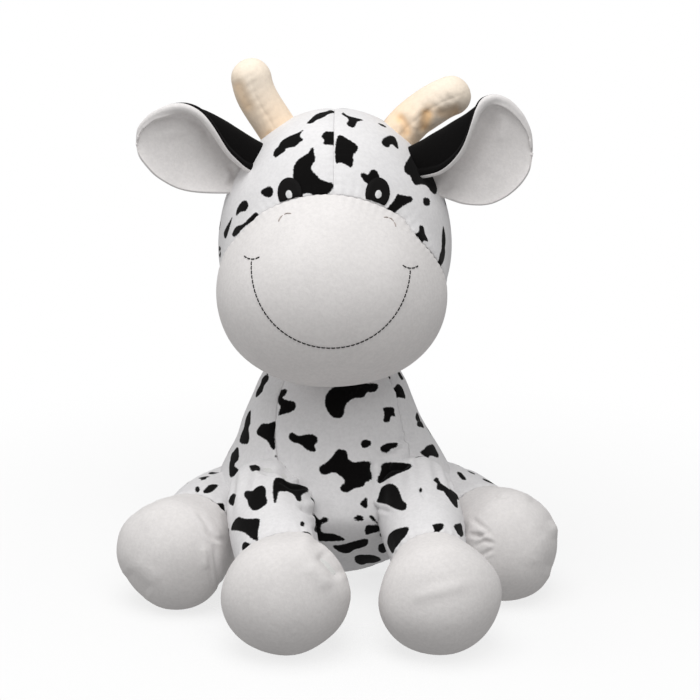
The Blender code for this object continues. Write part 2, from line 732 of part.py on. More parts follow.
def build_face_threads(head):
    """The mouth is a half circle seen from the front, with a tick across each end."""
    middle = MUZZLE_HALF_WIDTH * MOUTH_SIDE_SHARE
    clear_angle = (2 * THREAD_RADIUS + SEAM_GAP) / MOUTH_RADIUS
    points = []
    for step in range(MOUTH_POINTS):
        angle = clear_angle + (pi - 2 * clear_angle) * step / (MOUTH_POINTS - 1)
        points.append(on_muzzle(middle + MOUTH_RADIUS * cos(angle),
                                MOUTH_RISE - MOUTH_RADIUS * sin(angle)))
    thread("mouth_thread", points, BLACK_THREAD, head)
    nostril_side = MUZZLE_HALF_WIDTH * NOSTRIL_SIDE_SHARE
    nostril_rise = MUZZLE_HALF_HEIGHT * NOSTRIL_RISE_SHARE
    steps = [2 * step / (TICK_POINTS - 1) - 1 for step in range(TICK_POINTS)]
    for side, sign in (("left", -1), ("right", 1)):
        corner = middle + sign * MOUTH_RADIUS
        points = [on_muzzle(corner + TICK_HALF_LENGTH * step, MOUTH_RISE) for step in steps]
        thread(f"mouth_corner_{side}", points, BLACK_THREAD, head)
        points = []
        for step in steps:
            angle = pi / 2 - sign * NOSTRIL_LEAN - step * NOSTRIL_ARC
            points.append(on_muzzle(sign * nostril_side + NOSTRIL_RADIUS * cos(angle),
                                    nostril_rise + NOSTRIL_RADIUS * (sin(angle) - 1)))
        thread(f"nostril_{side}", points, WHITE_THREAD, head)


def torso_side_at(height):
    """The torso's radius at a height, and how far its side leans under there."""
    outline = torso_outline()
    for (above, top), (below, low) in zip(outline, outline[1:]):
        if low <= height <= top and top > low:
            radius = blend_value(below, above, (height - low) / (top - low))
            return radius, atan2(above - below, top - low)
    return 0.0, 0.0


def build_tail():
    """A slim tube of print plush from the back to the floor, ending in a black tuft."""
    height = TORSO_HEIGHT * TAIL_ROOT_HEIGHT_SHARE
    radius, lean = torso_side_at(height)
    outward = Vector((0.0, cos(lean), -sin(lean)))
    seat = Vector((0.0, radius, height))
    root = seat + outward * (SEAM_GAP + TAIL_RADIUS)
    empty = joint_empty("tail_joint", Matrix.Translation(root))
    drop = root.z - TUFT_RADIUS - FLOOR_FLAT
    reach = sqrt(TAIL_LENGTH**2 - drop**2)
    end = root + Vector((0.0, reach, -drop))
    landing = end - Vector((0.0, reach * TAIL_LEVEL_SHARE, 0.0))
    bend = root + Vector((0.0, reach * TAIL_BEND_SHARES[0], -drop * TAIL_BEND_SHARES[1]))
    rounding = [root - outward * (TAIL_RADIUS * share) for share in TAIL_ROOT_SHARES]
    rounding_radii = [TAIL_RADIUS * sqrt(1 - share**2) for share in TAIL_ROOT_SHARES]
    points = smooth_points([root, bend, landing], TAIL_POINTS) + [end]
    radii = rounding_radii + [TAIL_RADIUS] * len(points)
    tail = tube("tail", rounding + points, radii, TAIL_RESOLUTION, PRINT_PLUSH)
    start = end + Vector((0.0, SEAM_GAP, 0.0))
    count = len(TUFT_RADIUS_SHARES)
    points = [start + Vector((0.0, TUFT_LENGTH * step / (count - 1), 0.0))
              for step in range(count)]
    radii = [TUFT_RADIUS * share for share in TUFT_RADIUS_SHARES]
    tuft = tube("tail_tuft", points, radii, TAIL_RESOLUTION, BLACK_PLUSH)
    for item in (tail, tuft):
        item.parent = empty
        item.matrix_parent_inverse = Matrix.Translation(-root)


def build_cow():
    head = joint_empty("head_joint", Matrix.Identity(4))
    build_torso()
    for limb in LIMBS:
        build_limb(limb)
    build_head(head)
    build_ears(head)
    build_horns(head)
    build_eyes(head)
    build_face_threads(head)
    build_tail()


build_cow()
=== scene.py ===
import json
from math import cos, pi, radians, sin, sqrt

import bmesh
import bpy
import numpy as np
from mathutils import Matrix, Vector
from mathutils.bvhtree import BVHTree


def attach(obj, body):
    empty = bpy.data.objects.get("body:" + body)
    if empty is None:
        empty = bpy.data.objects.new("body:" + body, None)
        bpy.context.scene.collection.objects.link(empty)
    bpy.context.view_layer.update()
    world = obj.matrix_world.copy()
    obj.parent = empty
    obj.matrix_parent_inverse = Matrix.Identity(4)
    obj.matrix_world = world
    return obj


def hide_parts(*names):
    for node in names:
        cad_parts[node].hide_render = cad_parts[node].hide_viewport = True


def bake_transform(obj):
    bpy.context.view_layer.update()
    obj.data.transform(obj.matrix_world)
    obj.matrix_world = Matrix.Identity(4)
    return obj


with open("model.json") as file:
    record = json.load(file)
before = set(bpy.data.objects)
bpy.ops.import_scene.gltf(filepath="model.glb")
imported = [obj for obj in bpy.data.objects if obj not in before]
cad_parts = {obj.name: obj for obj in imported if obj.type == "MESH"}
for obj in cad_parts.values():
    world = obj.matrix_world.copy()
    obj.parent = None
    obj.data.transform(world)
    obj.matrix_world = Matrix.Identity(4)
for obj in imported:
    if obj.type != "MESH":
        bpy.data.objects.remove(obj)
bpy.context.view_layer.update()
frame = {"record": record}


# ---------------------------------------------------------------------------
# The view: one camera in front of the cow, a little above its eyes. The print's
# outlines further down are written in this view's pixels, read from enlarged crops.
# ---------------------------------------------------------------------------
CAMERA_TILT = radians(14)
CAMERA_DISTANCE = 1.30
AIM = Vector((0.0114, -0.015, 0.176))
PHOTO_PIXELS = 700
PIXEL_SIZE = 0.000757
SENSOR = 36.0

AWAY = Vector((0.0, -cos(CAMERA_TILT), sin(CAMERA_TILT)))
CAMERA_UP = Vector((0.0, sin(CAMERA_TILT), cos(CAMERA_TILT)))
CAMERA_RIGHT = Vector((1.0, 0.0, 0.0))
CAMERA_PLACE = AIM + AWAY * CAMERA_DISTANCE


def add_object(name, data):
    """Puts a mesh, a lamp or a camera into the scene."""
    item = bpy.data.objects.new(name, data)
    bpy.context.scene.collection.objects.link(item)
    return item


view_camera = bpy.data.cameras.new("view")
view_camera.sensor_width = SENSOR
view_camera.lens = SENSOR * CAMERA_DISTANCE / (PHOTO_PIXELS * PIXEL_SIZE)
view_camera.clip_end = 20.0
camera = add_object("view", view_camera)
turn = Matrix((CAMERA_RIGHT, CAMERA_UP, AWAY)).transposed().to_4x4()
camera.matrix_world = Matrix.Translation(CAMERA_PLACE) @ turn
bpy.context.scene.camera = camera


def sight_line(pixel):
    """Where the line through a pixel starts, and its direction."""
    half = PHOTO_PIXELS / 2
    across = CAMERA_RIGHT * ((pixel[0] - half) * PIXEL_SIZE)
    rise = CAMERA_UP * ((half - pixel[1]) * PIXEL_SIZE)
    return CAMERA_PLACE, (across + rise - AWAY * CAMERA_DISTANCE).normalized()


def photo_places(points):
    """The pixels at which the view shows points."""
    offset = points - np.array(CAMERA_PLACE)
    scale = -CAMERA_DISTANCE / PIXEL_SIZE / (offset @ np.array(AWAY))
    half = PHOTO_PIXELS / 2
    return np.stack([half + offset @ np.array(CAMERA_RIGHT) * scale,
                     half - offset @ np.array(CAMERA_UP) * scale], -1)


# ---------------------------------------------------------------------------
# Torso: one stuffed pear shape, cut from a front panel and two back panels of short
# pile plush with a patch print, sewn inside out so that each seam lies in a crease.
# ---------------------------------------------------------------------------
TORSO_HEIGHT = 0.182
TORSO_RADIUS = 0.0935
TORSO_OUTLINE_SHARES = (
    (1.0, 0.0), (0.985, 0.24), (0.965, 0.37), (0.90, 0.50), (0.82, 0.60), (0.745, 0.660),
    (0.694, 0.700), (0.636, 0.747), (0.572, 0.803), (0.527, 0.852), (0.47, 0.915),
    (0.41, 0.970), (0.35, 0.985), (0.25, 0.90), (0.15, 0.745), (0.07, 0.54), (0.015, 0.32),
    (0.0, 0.20), (0.0, 0.0),
)
TORSO_MIDDLE = (0, 0, TORSO_HEIGHT / 2)
TORSO_LEAN = -0.0028
LEAN_FROM, LEAN_FADE = 0.095, 0.030
BODY_TURN = radians(4)
TORSO_ROWS = 150
TORSO_COLUMNS_PER_TURN = 400
COLUMNS_TO_SEAMS = 0.03
AXIS_FADE = 0.02
SEAM_DEPTH = 0.0016
SEAM_WIDTH = 0.0023
PUCKER_DEPTH = 0.00028
PUCKER_LENGTH = 0.0062
PUCKER_REACH = 0.007
FABRIC = 0.0012
FLOOR_SOFTNESS = 0.0012
FLOOR_GAP = 0.0002
# Folds over the shoulders: height in metres, width in photo pixels, and the line.
TORSO_FOLDS = (
    (-0.0022, 2.2, ((1050, 498), (1100, 500), (1165, 472))),
    (-0.0024, 2.4, ((945, 590), (1000, 596), (1060, 560), (1090, 530))),
    (0.0014, 2.6, ((960, 560), (1010, 572), (1060, 530), (1120, 520))),
    (-0.0018, 2.2, ((905, 640), (890, 700), (915, 760))),
    (-0.0013, 2.2, ((150, 660), (190, 700), (290, 722))),
    (0.0012, 5.0, ((1090, 560), (1160, 540), (1230, 510))),
)
# How lines are smoothed, cloth is made uneven and folds fade, in all the cloth.
CURVE_STEPS = 12
WAVES, WAVE_PACE, WAVE_PACE_STEP, WAVE_SUM = 6, 0.7, 0.12, 3
WELD = 0.00002
FOLD_FACING_FROM, FOLD_FACING_FADE = 0.35, 0.5
FOLD_END_FADE, FOLD_END_SHARE = 4, 0.25
FOLD_BANK_SHARE, FOLD_BANK_PLACE = 0.35, 2.2
STUFFING_UNEVENNESS = 0.0009
TORSO_LUMP_SIZE = 0.085
LUMP_FOOT_FADE, LUMP_NECK, LUMP_NECK_FADE = 0.03, 0.175, 0.02
BODY_CROP = (230, 360, 6.27)

# The pile: sizes of its grain in metres, then how much lighter and darker it gets.
PILE_GRAIN, TUFT_GRAINS, CLUMP_GRAINS = 0.0011, 2.4, 6
PILE_RELIEF, PILE_BUMP, CLUMP_SHARE = 0.0005, 0.35, 0.9
PILE_SHADES = (0.945, 1.03)
PILE_FINISH = {"Roughness": 0.95, "Specular IOR Level": 0.03, "Sheen Weight": 0.035,
               "Sheen Roughness": 0.55}
NAP_SIZE = 0.022
TUFT_TONE, NAP_TONE, TONE_RANGE = 0.70, 0.30, (0.32, 0.68)
# How the nap makes the painted shade in folds uneven.
FOLD_SHADE_RANGE = (0.3, 0.7, 0.75, 1.1)
PRINT_EDGE_GRAIN, PRINT_EDGE_RAGGED, PRINT_EDGE_SOFTNESS = 0.0014, 0.0022, 0.00045
FILLING_DEPTH, FILLING_ROWS = 0.0045, 50
FILLING_COLUMNS = {"torso": 72, "head": 80, "horn": 32}


def eased(share):
    """Goes from 0 to 1 without a corner at either end."""
    return share * share * (3 - 2 * share)


def lengths_along(points, axis=0):
    """How far along a line, or along the lines of a grid, each point lies."""
    step = np.linalg.norm(np.diff(points, axis=axis), axis=-1)
    start = np.zeros_like(np.take(step, [0], axis=axis))
    return np.concatenate([start, np.cumsum(step, axis=axis)], axis=axis)


def smooth_line(points, count, closed=False):
    """Evenly spaced points along a smooth curve through the given ones."""
    points = np.asarray(points, float)
    if closed:
        ends = np.vstack([points[-1:], points, points[:2]])
    else:
        ends = np.vstack([2 * points[:1] - points[1:2], points, 2 * points[-1:] - points[-2:-1]])
    t = np.linspace(0, 1, CURVE_STEPS, endpoint=False)[:, None]
    pieces = []
    for before, first, second, after in zip(ends, ends[1:], ends[2:], ends[3:]):
        pieces.append(
            (2 * first + (second - before) * t
             + (2 * before - 5 * first + 4 * second - after) * t**2
             + (3 * first - before - 3 * second + after) * t**3) / 2
        )
    pieces.append(points[:1] if closed else points[-1:])
    line = np.vstack(pieces)
    reach = lengths_along(line)
    places = np.linspace(0, reach[-1], count, endpoint=not closed)
    return np.stack([np.interp(places, reach, column) for column in line.T], axis=-1)


def waves(points, scale, seed):
    """A smooth uneven field between about -1 and 1, the same each run."""
    draw = np.random.default_rng(seed)
    total = np.zeros(points.shape[:-1])
    for octave in range(WAVES):
        direction = draw.normal(size=3)
        pace = WAVE_PACE + WAVE_PACE_STEP * octave
        direction *= pace / np.linalg.norm(direction) / scale
        total += np.sin(points @ direction * 2 * pi + draw.uniform(0, 2 * pi))
    return total / WAVE_SUM


def seam_crease(distance, along):
    """How deep the cloth is drawn in near a seam, with its small regular puckers."""
    crease = SEAM_DEPTH * np.exp(-distance / SEAM_WIDTH)
    pucker = PUCKER_DEPTH * np.sin(2 * pi * along / PUCKER_LENGTH)
    return crease + pucker * np.exp(-distance / PUCKER_REACH)


def photo_pixels(crop, points):
    """Pixels of the photo, from points read in an enlarged crop of it."""
    left, top, scale = crop
    return [(left + x / scale, top + y / scale) for x, y in points]


def fold_heights(points, normals, crop, folds):
    """How far folds and bulges raise the cloth. Each has a height, a width and its line."""
    pixels = photo_places(points).reshape(-1, 2)
    facing = np.clip((normals @ np.array(AWAY) + FOLD_FACING_FROM) / FOLD_FACING_FADE, 0, 1)
    total = np.zeros(len(pixels))
    for height, width, line in folds:
        path = np.array(photo_pixels(crop, line), float)
        path = smooth_line(path, max(len(line) * 5, 8))
        start, edge = path[:-1], np.diff(path, axis=0)
        offset = pixels[:, None] - start
        along = np.clip((offset * edge).sum(-1) / (edge**2).sum(-1), 0, 1)
        distance = np.sqrt(((offset - edge * along[..., None]) ** 2).sum(-1))
        nearest = distance.argmin(1)
        each = np.arange(len(pixels))
        share = (nearest + along[each, nearest]) / len(start)
        fade = np.clip(np.minimum(share, 1 - share) * FOLD_END_FADE + FOLD_END_SHARE, 0, 1)
        wide = distance[each, nearest] / width
        profile = np.exp(-(wide**2))
        if height < 0:
            profile -= FOLD_BANK_SHARE * np.exp(-((wide - FOLD_BANK_PLACE) ** 2))
        total += height * fade * profile
    return total.reshape(points.shape[:-1]) * facing


def face_outward(points, inside):
    """Normals of a grid of points, pointing away from a place inside."""
    normals = np.cross(np.gradient(points, axis=0), np.gradient(points, axis=1))
    length = np.linalg.norm(normals, axis=-1, keepdims=True)
    outward = points - np.asarray(inside)
    fallback = outward / np.maximum(np.linalg.norm(outward, axis=-1, keepdims=True), 1e-9)
    normals = np.where(length > 1e-12, normals / np.maximum(length, 1e-12), fallback)
    return normals * np.sign(np.median((normals * outward).sum(-1)))


def rest_on_floor(points):
    """Presses what lies below the floor softly up to it."""
    height = points[..., 2]
    points[..., 2] = (height + np.sqrt(height**2 + FLOOR_SOFTNESS**2)) / 2
    return points


def grid_faces(rows, columns, closed, first=0):
    """Faces over a grid of points that are numbered row by row from the first."""
    number = first + np.arange(rows * columns).reshape(rows, columns)
    if closed:
        number = np.hstack([number, number[:, :1]])
    return np.stack([number[:-1, :-1], number[:-1, 1:], number[1:, 1:], number[1:, :-1]],
                    -1).reshape(-1, 4).tolist()


def thicken(piece, thickness):
    """Gives a piece its fabric's thickness, inwards from its outer face."""
    wall = piece.modifiers.new("Fabric", "SOLIDIFY")
    wall.thickness = thickness
    wall.offset = -1.0


def cloth(name, points, inside=None, closed=False, thickness=FABRIC):
    """A sewn piece from a grid of points, facing away from a place inside it."""
    mesh = bpy.data.meshes.new(name)
    mesh.from_pydata(points.reshape(-1, 3).tolist(), [], grid_faces(*points.shape[:2], closed))
    form = bmesh.new()
    form.from_mesh(mesh)
    bmesh.ops.remove_doubles(form, verts=form.verts, dist=WELD)
    loose = [vertex for vertex in form.verts if not vertex.link_faces]
    bmesh.ops.delete(form, geom=loose, context="VERTS")
    form.to_mesh(mesh)
    form.free()
    for face in mesh.polygons:
        face.use_smooth = True
    if inside is not None and sum(face.normal.dot(face.center - Vector(inside)) * face.area
                                  for face in mesh.polygons) < 0:
        mesh.flip_normals()
    piece = add_object(name, mesh)
    if thickness:
        thicken(piece, thickness)
    return piece


def torso_form(angles, rows, bury=0.0):
    """Points of the torso by angle, from the top down. A filling is buried in its cover."""
    outline = [(TORSO_RADIUS * radius, TORSO_HEIGHT * height)
               for height, radius in TORSO_OUTLINE_SHARES]
    line = smooth_line(outline, rows)
    angles = angles(line[:, 1:2]) if callable(angles) else angles
    across = np.ones(angles.shape[-1])
    radius = np.maximum(line[:, 0], 0)[:, None] * across
    points = np.stack([radius * np.cos(angles), radius * np.sin(angles),
                       line[:, 1:2] * across], -1)
    normals = face_outward(points, TORSO_MIDDLE)
    height = points[..., 2]
    points[..., 0] += TORSO_LEAN * eased(np.clip((height - LEAN_FROM) / LEAN_FADE, 0, 1))
    lump = waves(points, TORSO_LUMP_SIZE, seed=3) * STUFFING_UNEVENNESS
    lump *= np.clip(height / LUMP_FOOT_FADE, 0, 1)
    lump *= np.clip((LUMP_NECK - height) / LUMP_NECK_FADE, 0, 1)
    if not bury:
        lump = lump + fold_heights(points, normals, BODY_CROP, TORSO_FOLDS)
    points = points + normals * (lump - bury)[..., None]
    return rest_on_floor(points), normals


def torso_panel(name, first, second):
    """One panel between two seams, with its edges drawn into them."""
    wide = second(TORSO_HEIGHT / 2) - first(TORSO_HEIGHT / 2)
    columns = int(TORSO_COLUMNS_PER_TURN * wide / (2 * pi))
    share = np.linspace(0, 1, columns)
    ease = share - COLUMNS_TO_SEAMS * np.sin(2 * pi * share)

    def angles(height):
        return first(height) + (second(height) - first(height)) * ease

    points, normals = torso_form(angles, TORSO_ROWS)
    radius = np.linalg.norm(points[..., :2], axis=-1)
    height = points[..., 2]
    turn = angles(height[:, :1])
    distance = radius * np.minimum(turn - first(height), second(height) - turn)
    dip = seam_crease(distance, lengths_along(points)) * np.clip(radius / AXIS_FADE, 0, 1)
    points = points - normals * dip[..., None]
    points[..., 2] = np.maximum(points[..., 2], FLOOR_GAP)
    return cloth(name, points, TORSO_MIDDLE)


class Paint:
    """Short ways to add nodes to a material or to the world, and to set and link them."""

    def __init__(self, owner):
        owner.use_nodes = True
        self.tree = owner.node_tree

    def set(self, node, values):
        """Gives a node's inputs their values, or links them to other nodes' outputs."""
        node = self.tree.nodes[node] if isinstance(node, str) else node
        for socket, value in values.items():
            if isinstance(value, bpy.types.NodeSocket):
                self.tree.links.new(value, node.inputs[socket])
            else:
                node.inputs[socket].default_value = value

    def add(self, kind, output, values=None, **settings):
        """Adds a node and gives one of its outputs."""
        node = self.tree.nodes.new(f"ShaderNode{kind}")
        for setting, value in settings.items():
            setattr(node, setting, value)
        self.set(node, values or {})
        return node.outputs[output]

    def speckle(self, scale, detail, rough=0.5, distortion=0.0):
        """A grain that stays with the piece."""
        return self.add("TexNoise", "Fac", {
            "Vector": self.add("TexCoord", "Object"), "Scale": scale, "Detail": detail,
            "Roughness": rough, "Distortion": distortion})

    def combine(self, operation, first, second):
        """Adds, subtracts or multiplies two values."""
        return self.add("Math", "Value", {0: first, 1: second}, operation=operation)

    def spread(self, value, low, high, low_out=0.0, high_out=1.0):
        """Goes softly from one value to another while the given one goes from low to high."""
        return self.add("MapRange", "Result", {
            "Value": value, "From Min": low, "From Max": high, "To Min": low_out,
            "To Max": high_out}, interpolation_type="SMOOTHSTEP")

    def blend(self, factor, first, second):
        """Goes from the first colour to the second."""
        first, second = ((*colour, 1.0) if isinstance(colour, tuple) else colour
                         for colour in (first, second))
        return self.add("Mix", "Result", {"Factor": factor, "A": first, "B": second},
                        data_type="RGBA")

    def blend_shaders(self, factor, first, second):
        """Goes from the first shader to the second."""
        return self.add("MixShader", "Shader", {"Fac": factor, 1: first, 2: second})

    def relief(self, height, strength, distance):
        """Makes the surface look raised by a value."""
        return self.add("Bump", "Normal", {"Height": height, "Strength": strength,
                                           "Distance": distance})


def toned(colour, share):
    """A colour made lighter or darker."""
    return tuple(min(channel * share, 1.0) for channel in colour)


def plush(name, colour, print_colour=None, fold_shade_colour=None):
    """Short pile plush: a soft nap with fine tufts, slightly uneven in tone, and with painted shade
    in its folds where a shade colour for them is given.
    """
    material = bpy.data.materials.new(name)
    paint = Paint(material)
    tufts = paint.speckle(1.0 / (PILE_GRAIN * TUFT_GRAINS), detail=3.0, rough=0.65)
    nap = paint.speckle(1.0 / NAP_SIZE, detail=2.0, rough=0.55)
    tone = paint.combine("ADD", paint.combine("MULTIPLY", tufts, TUFT_TONE),
                         paint.combine("MULTIPLY", nap, NAP_TONE))
    tint = paint.blend(paint.spread(tone, *TONE_RANGE),
                       *(toned(colour, shade) for shade in PILE_SHADES))
    if print_colour:
        outline = paint.add("Attribute", "Fac", attribute_name="patch_distance")
        grain = paint.speckle(1.0 / PRINT_EDGE_GRAIN, detail=3.0, rough=0.7)
        ragged = paint.combine("MULTIPLY", paint.combine("SUBTRACT", grain, 0.5),
                               PRINT_EDGE_RAGGED)
        edge = paint.combine("ADD", outline, ragged)
        inside = paint.spread(edge, -PRINT_EDGE_SOFTNESS, PRINT_EDGE_SOFTNESS, 1.0, 0.0)
        tint = paint.blend(inside, tint, print_colour)
    # Painted shade: the colour goes towards the darker given one where the piece's points keep a
    # fold or root shade, made uneven by the nap.
    if fold_shade_colour:
        fold = paint.add("Attribute", "Fac", attribute_name="painted_shade")
        uneven = paint.combine("MULTIPLY", fold, paint.spread(nap, *FOLD_SHADE_RANGE))
        tint = paint.blend(uneven, tint, fold_shade_colour)
    clumps = paint.speckle(1.0 / (PILE_GRAIN * CLUMP_GRAINS), detail=2.0, rough=0.55)
    pile = paint.combine("ADD", tufts, paint.combine("MULTIPLY", clumps, CLUMP_SHARE))
    paint.set("Principled BSDF", {
        "Base Color": tint, "Normal": paint.relief(pile, PILE_BUMP, PILE_RELIEF), **PILE_FINISH})
    return material


def spun(name, colour, shade, curl, relief, values):
    """Spun fibre, loose or twisted, darker between its curls: painted shade in the hollows of its
    relief.
    """
    material = bpy.data.materials.new(name)
    paint = Paint(material)
    curls = paint.speckle(**curl)
    paint.set("Principled BSDF", {
        "Base Color": paint.blend(curls, toned(colour, shade), colour),
        "Normal": paint.relief(curls, **relief), **values})
    return material


WHITE_PILE = (0.79, 0.78, 0.785)
BLACK_PILE = (0.0042, 0.0038, 0.0038)
print_plush = plush("print_plush", WHITE_PILE, print_colour=BLACK_PILE)
# The filling gets painted shade between its curls.
filling_fibre = spun("polyester_filling", (0.86, 0.86, 0.84), shade=0.8,
                     curl=dict(scale=260.0, detail=6.0, distortion=2.5),
                     relief=dict(strength=0.8, distance=0.001),
                     values={"Roughness": 1.0, "Sheen Weight": 0.4})


def wear(piece, material, body, node):
    """Gives a piece its material and its body, and hides the solid that it stands in for."""
    piece.data.materials.clear()
    piece.data.materials.append(material)
    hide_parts(node)
    if body:
        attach(piece, body)


def side_seam(low, high):
    """A side seam runs upright as the front shows it, so it turns further round above."""
    def turn(height):
        share = np.clip((height - SEAM_LOW) / (SEAM_HIGH - SEAM_LOW), 0, 1)
        return radians(-90) + radians(low) + radians(high - low) * share
    return turn


SEAM_LOW, SEAM_HIGH = 0.088, 0.146
BACK_SEAM = pi / 2 + BODY_TURN
left_seam, right_seam = side_seam(-30, -45), side_seam(45, 60)
torso_panels = []
for panel_name, first_seam, second_seam in (
    ("torso_front", left_seam, right_seam),
    ("torso_back_right", right_seam, lambda height: BACK_SEAM + 0.0 * height),
    ("torso_back_left", lambda height: BACK_SEAM - 2 * pi + 0.0 * height, left_seam),
):
    panel = torso_panel(panel_name, first_seam, second_seam)
    wear(panel, print_plush, "torso", f"{panel_name}_panel")
    torso_panels.append(panel)

PRINT_REACH = 0.024
FAR_FROM_PRINT = 0.03
EDGE_ON = 0.12
PATCH_MARGIN, PATCH_CURVE = 1.45, 0.012
PATCH_FACING, PATCH_STRETCH, EDGE_PATCH_STRETCH = 0.4, 1.7, 1.25
SEEN_FACING, SHALLOWEST = 0.02, 0.3
BACK_SPACE, FRONT_SPACE, FRONT_FACING = 0.0065, 0.017, 0.16
REPEAT_SHAPES, REPEAT_TRIES = 11, 900
REPEAT_SIZES, REPEAT_REACH_SHARE = (0.85, 1.15), 0.8


def oval(left, top, right, bottom):
    """A small uneven round patch between four sides."""
    middle = ((left + right) / 2, (top + bottom) / 2)
    half = ((right - left) / 2, (bottom - top) / 2)
    rim = ((1.0, 0.1), (0.72, 0.70), (0.0, 1.0), (-0.78, 0.62), (-1.0, -0.1), (-0.66, -0.76),
           (0.05, -1.0), (0.74, -0.66))
    return tuple((middle[0] + half[0] * x, middle[1] + half[1] * y) for x, y in rim)


def vertex_values(mesh, kind):
    """The places or the normals of a mesh's points."""
    values = np.empty(len(mesh.vertices) * 3)
    mesh.vertices.foreach_get(kind, values)
    return values.reshape(-1, 3)


def keep_values(mesh, name, values):
    """Keeps a number for each point, which the material reads."""
    kept = mesh.attributes.new(name, "FLOAT", "POINT")
    kept.data.foreach_set("value", values.astype(np.float32))


def cloth_tree(mesh):
    """What rays are cast at to find a place on the cloth."""
    return BVHTree.FromPolygons(vertex_values(mesh, "co").tolist(),
                                [tuple(face.vertices) for face in mesh.polygons])


def sewn_outline_distance(points, outline):
    """How far flat points are outside a closed outline; less than nothing inside it."""
    start, end = outline, np.roll(outline, -1, axis=0)
    edge = end - start
    offset = points[:, None] - start
    along = (offset * edge).sum(-1) / np.maximum((edge**2).sum(-1), 1e-12)
    nearest = offset - edge * np.clip(along, 0, 1)[..., None]
    distance = np.sqrt((nearest**2).sum(-1)).min(1)
    x, y = points[:, :1], points[:, 1:]
    rises = (start[:, 1] > y) != (end[:, 1] > y)
    with np.errstate(divide="ignore", invalid="ignore"):
        crossing = edge[:, 0] * (y - start[:, 1]) / edge[:, 1] + start[:, 0]
    inside = (rises & (x < crossing)).sum(1) % 2 == 1
    return np.where(inside, -distance, distance)


def lay_patch(cloth_part, centre, normal, first, second, outline):
    """Prints one patch, flat round its centre, on the piece that it lies on."""
    offset = cloth_part["points"] - centre
    flat = np.stack([offset @ first, offset @ second], -1)
    size = np.abs(outline).max() * PATCH_MARGIN
    near = np.abs(flat).max(1) < size + PRINT_REACH
    near &= np.abs(offset @ normal) < size + PATCH_CURVE
    near &= cloth_part["normals"] @ normal > EDGE_ON
    if near.any():
        distance = sewn_outline_distance(flat[near], outline)
        cloth_part["distance"][near] = np.minimum(cloth_part["distance"][near], distance)


def plane_at(normal, up=(0.0, 0.0, 1.0)):
    """Two directions across a normal."""
    first = np.cross(up, normal)
    if np.linalg.norm(first) < 0.05:
        first = np.cross((0.0, 1.0, 0.0), normal)
    first = first / np.linalg.norm(first)
    return first, np.cross(normal, first)


def lay_photo_patches(group, crop, patches):
    """Prints patches where the photo shows them, each on the one piece that it lies on."""
    away = np.array(AWAY)

    def hit(pixel):
        place, direction = sight_line(pixel)
        found = []
        for number, cloth_part in enumerate(group):
            place_hit, normal, _, distance = cloth_part["tree"].ray_cast(place, direction)
            if place_hit is not None and np.array(normal) @ away > SEEN_FACING:
                found.append((distance, number, np.array(place_hit), np.array(normal)))
        return min(found, key=lambda item: item[0]) if found else None

    for patch in patches:
        pixels = smooth_line(photo_pixels(crop, patch), len(patch) * 5, closed=True)
        hits = [hit(pixel) for pixel in pixels]
        on_cloth = [found for found in [hit(pixels.mean(0))] + hits if found]
        if not on_cloth:
            continue
        numbers = [found[1] for found in on_cloth]
        chosen = max(set(numbers), key=numbers.count)
        kept = [found for found in on_cloth if found[1] == chosen]
        centre = np.mean([found[2] for found in kept], axis=0)
        normal = np.mean([found[3] for found in kept], axis=0)
        normal /= np.linalg.norm(normal)
        first, second = plane_at(normal)
        outline = []
        middle = pixels.mean(0)
        stretch = PATCH_STRETCH if normal @ away > PATCH_FACING else EDGE_PATCH_STRETCH
        for pixel, found in zip(pixels, hits):
            if found and found[1] == chosen:
                offset = found[2] - centre
            else:
                place, direction = (np.array(part) for part in sight_line(pixel))
                level = -max(abs(direction @ normal), SHALLOWEST)
                offset = place + direction * ((centre - place) @ normal / level) - centre
            flat = np.array((offset @ first, offset @ second))
            limit = (np.linalg.norm(pixel - middle) + 2) * PIXEL_SIZE * stretch
            outline.append(flat * min(1.0, limit / max(np.linalg.norm(flat), 1e-6)))
        lay_patch(group[chosen], centre, normal, first, second, np.array(outline))


def lay_repeat_patches(group, seed, space, count):
    """Goes on with the print where the photo doesn't show it."""
    draw = np.random.default_rng(seed)
    shapes = [smooth_line(shape, len(shape) * 4, closed=True) for shape in REPEAT_PATCHES]
    shapes = [shape - shape.mean(0) for shape in shapes]
    for cloth_part in group:
        for index in draw.integers(len(cloth_part["points"]), size=count):
            shape = shapes[draw.integers(len(shapes))] * draw.uniform(*REPEAT_SIZES)
            turn = draw.uniform(0, 2 * pi)
            point, normal = cloth_part["points"][index], cloth_part["normals"][index]
            needed = np.linalg.norm(shape, axis=1).max() * REPEAT_REACH_SHARE
            needed += FRONT_SPACE if normal @ np.array(AWAY) > FRONT_FACING else space
            if cloth_part["distance"][index] < min(needed, FAR_FROM_PRINT - 0.001):
                continue
            turned = shape @ np.array(((cos(turn), sin(turn)), (-sin(turn), cos(turn))))
            lay_patch(cloth_part, point, normal, *plane_at(normal), turned)


def print_cloth(pieces, photo_patches, seed, space=BACK_SPACE, count=REPEAT_TRIES):
    """Prints pieces and keeps each point's distance from the nearest patch with them."""
    group = []
    for piece in pieces:
        points = vertex_values(piece.data, "co")
        group.append({"points": points, "normals": vertex_values(piece.data, "normal"),
                      "tree": cloth_tree(piece.data),
                      "distance": np.full(len(points), FAR_FROM_PRINT)})
    for crop, patches in photo_patches:
        lay_photo_patches(group, crop, patches)
    lay_repeat_patches(group, seed, space, count)
    for piece, cloth_part in zip(pieces, group):
        keep_values(piece.data, "patch_distance", cloth_part["distance"])


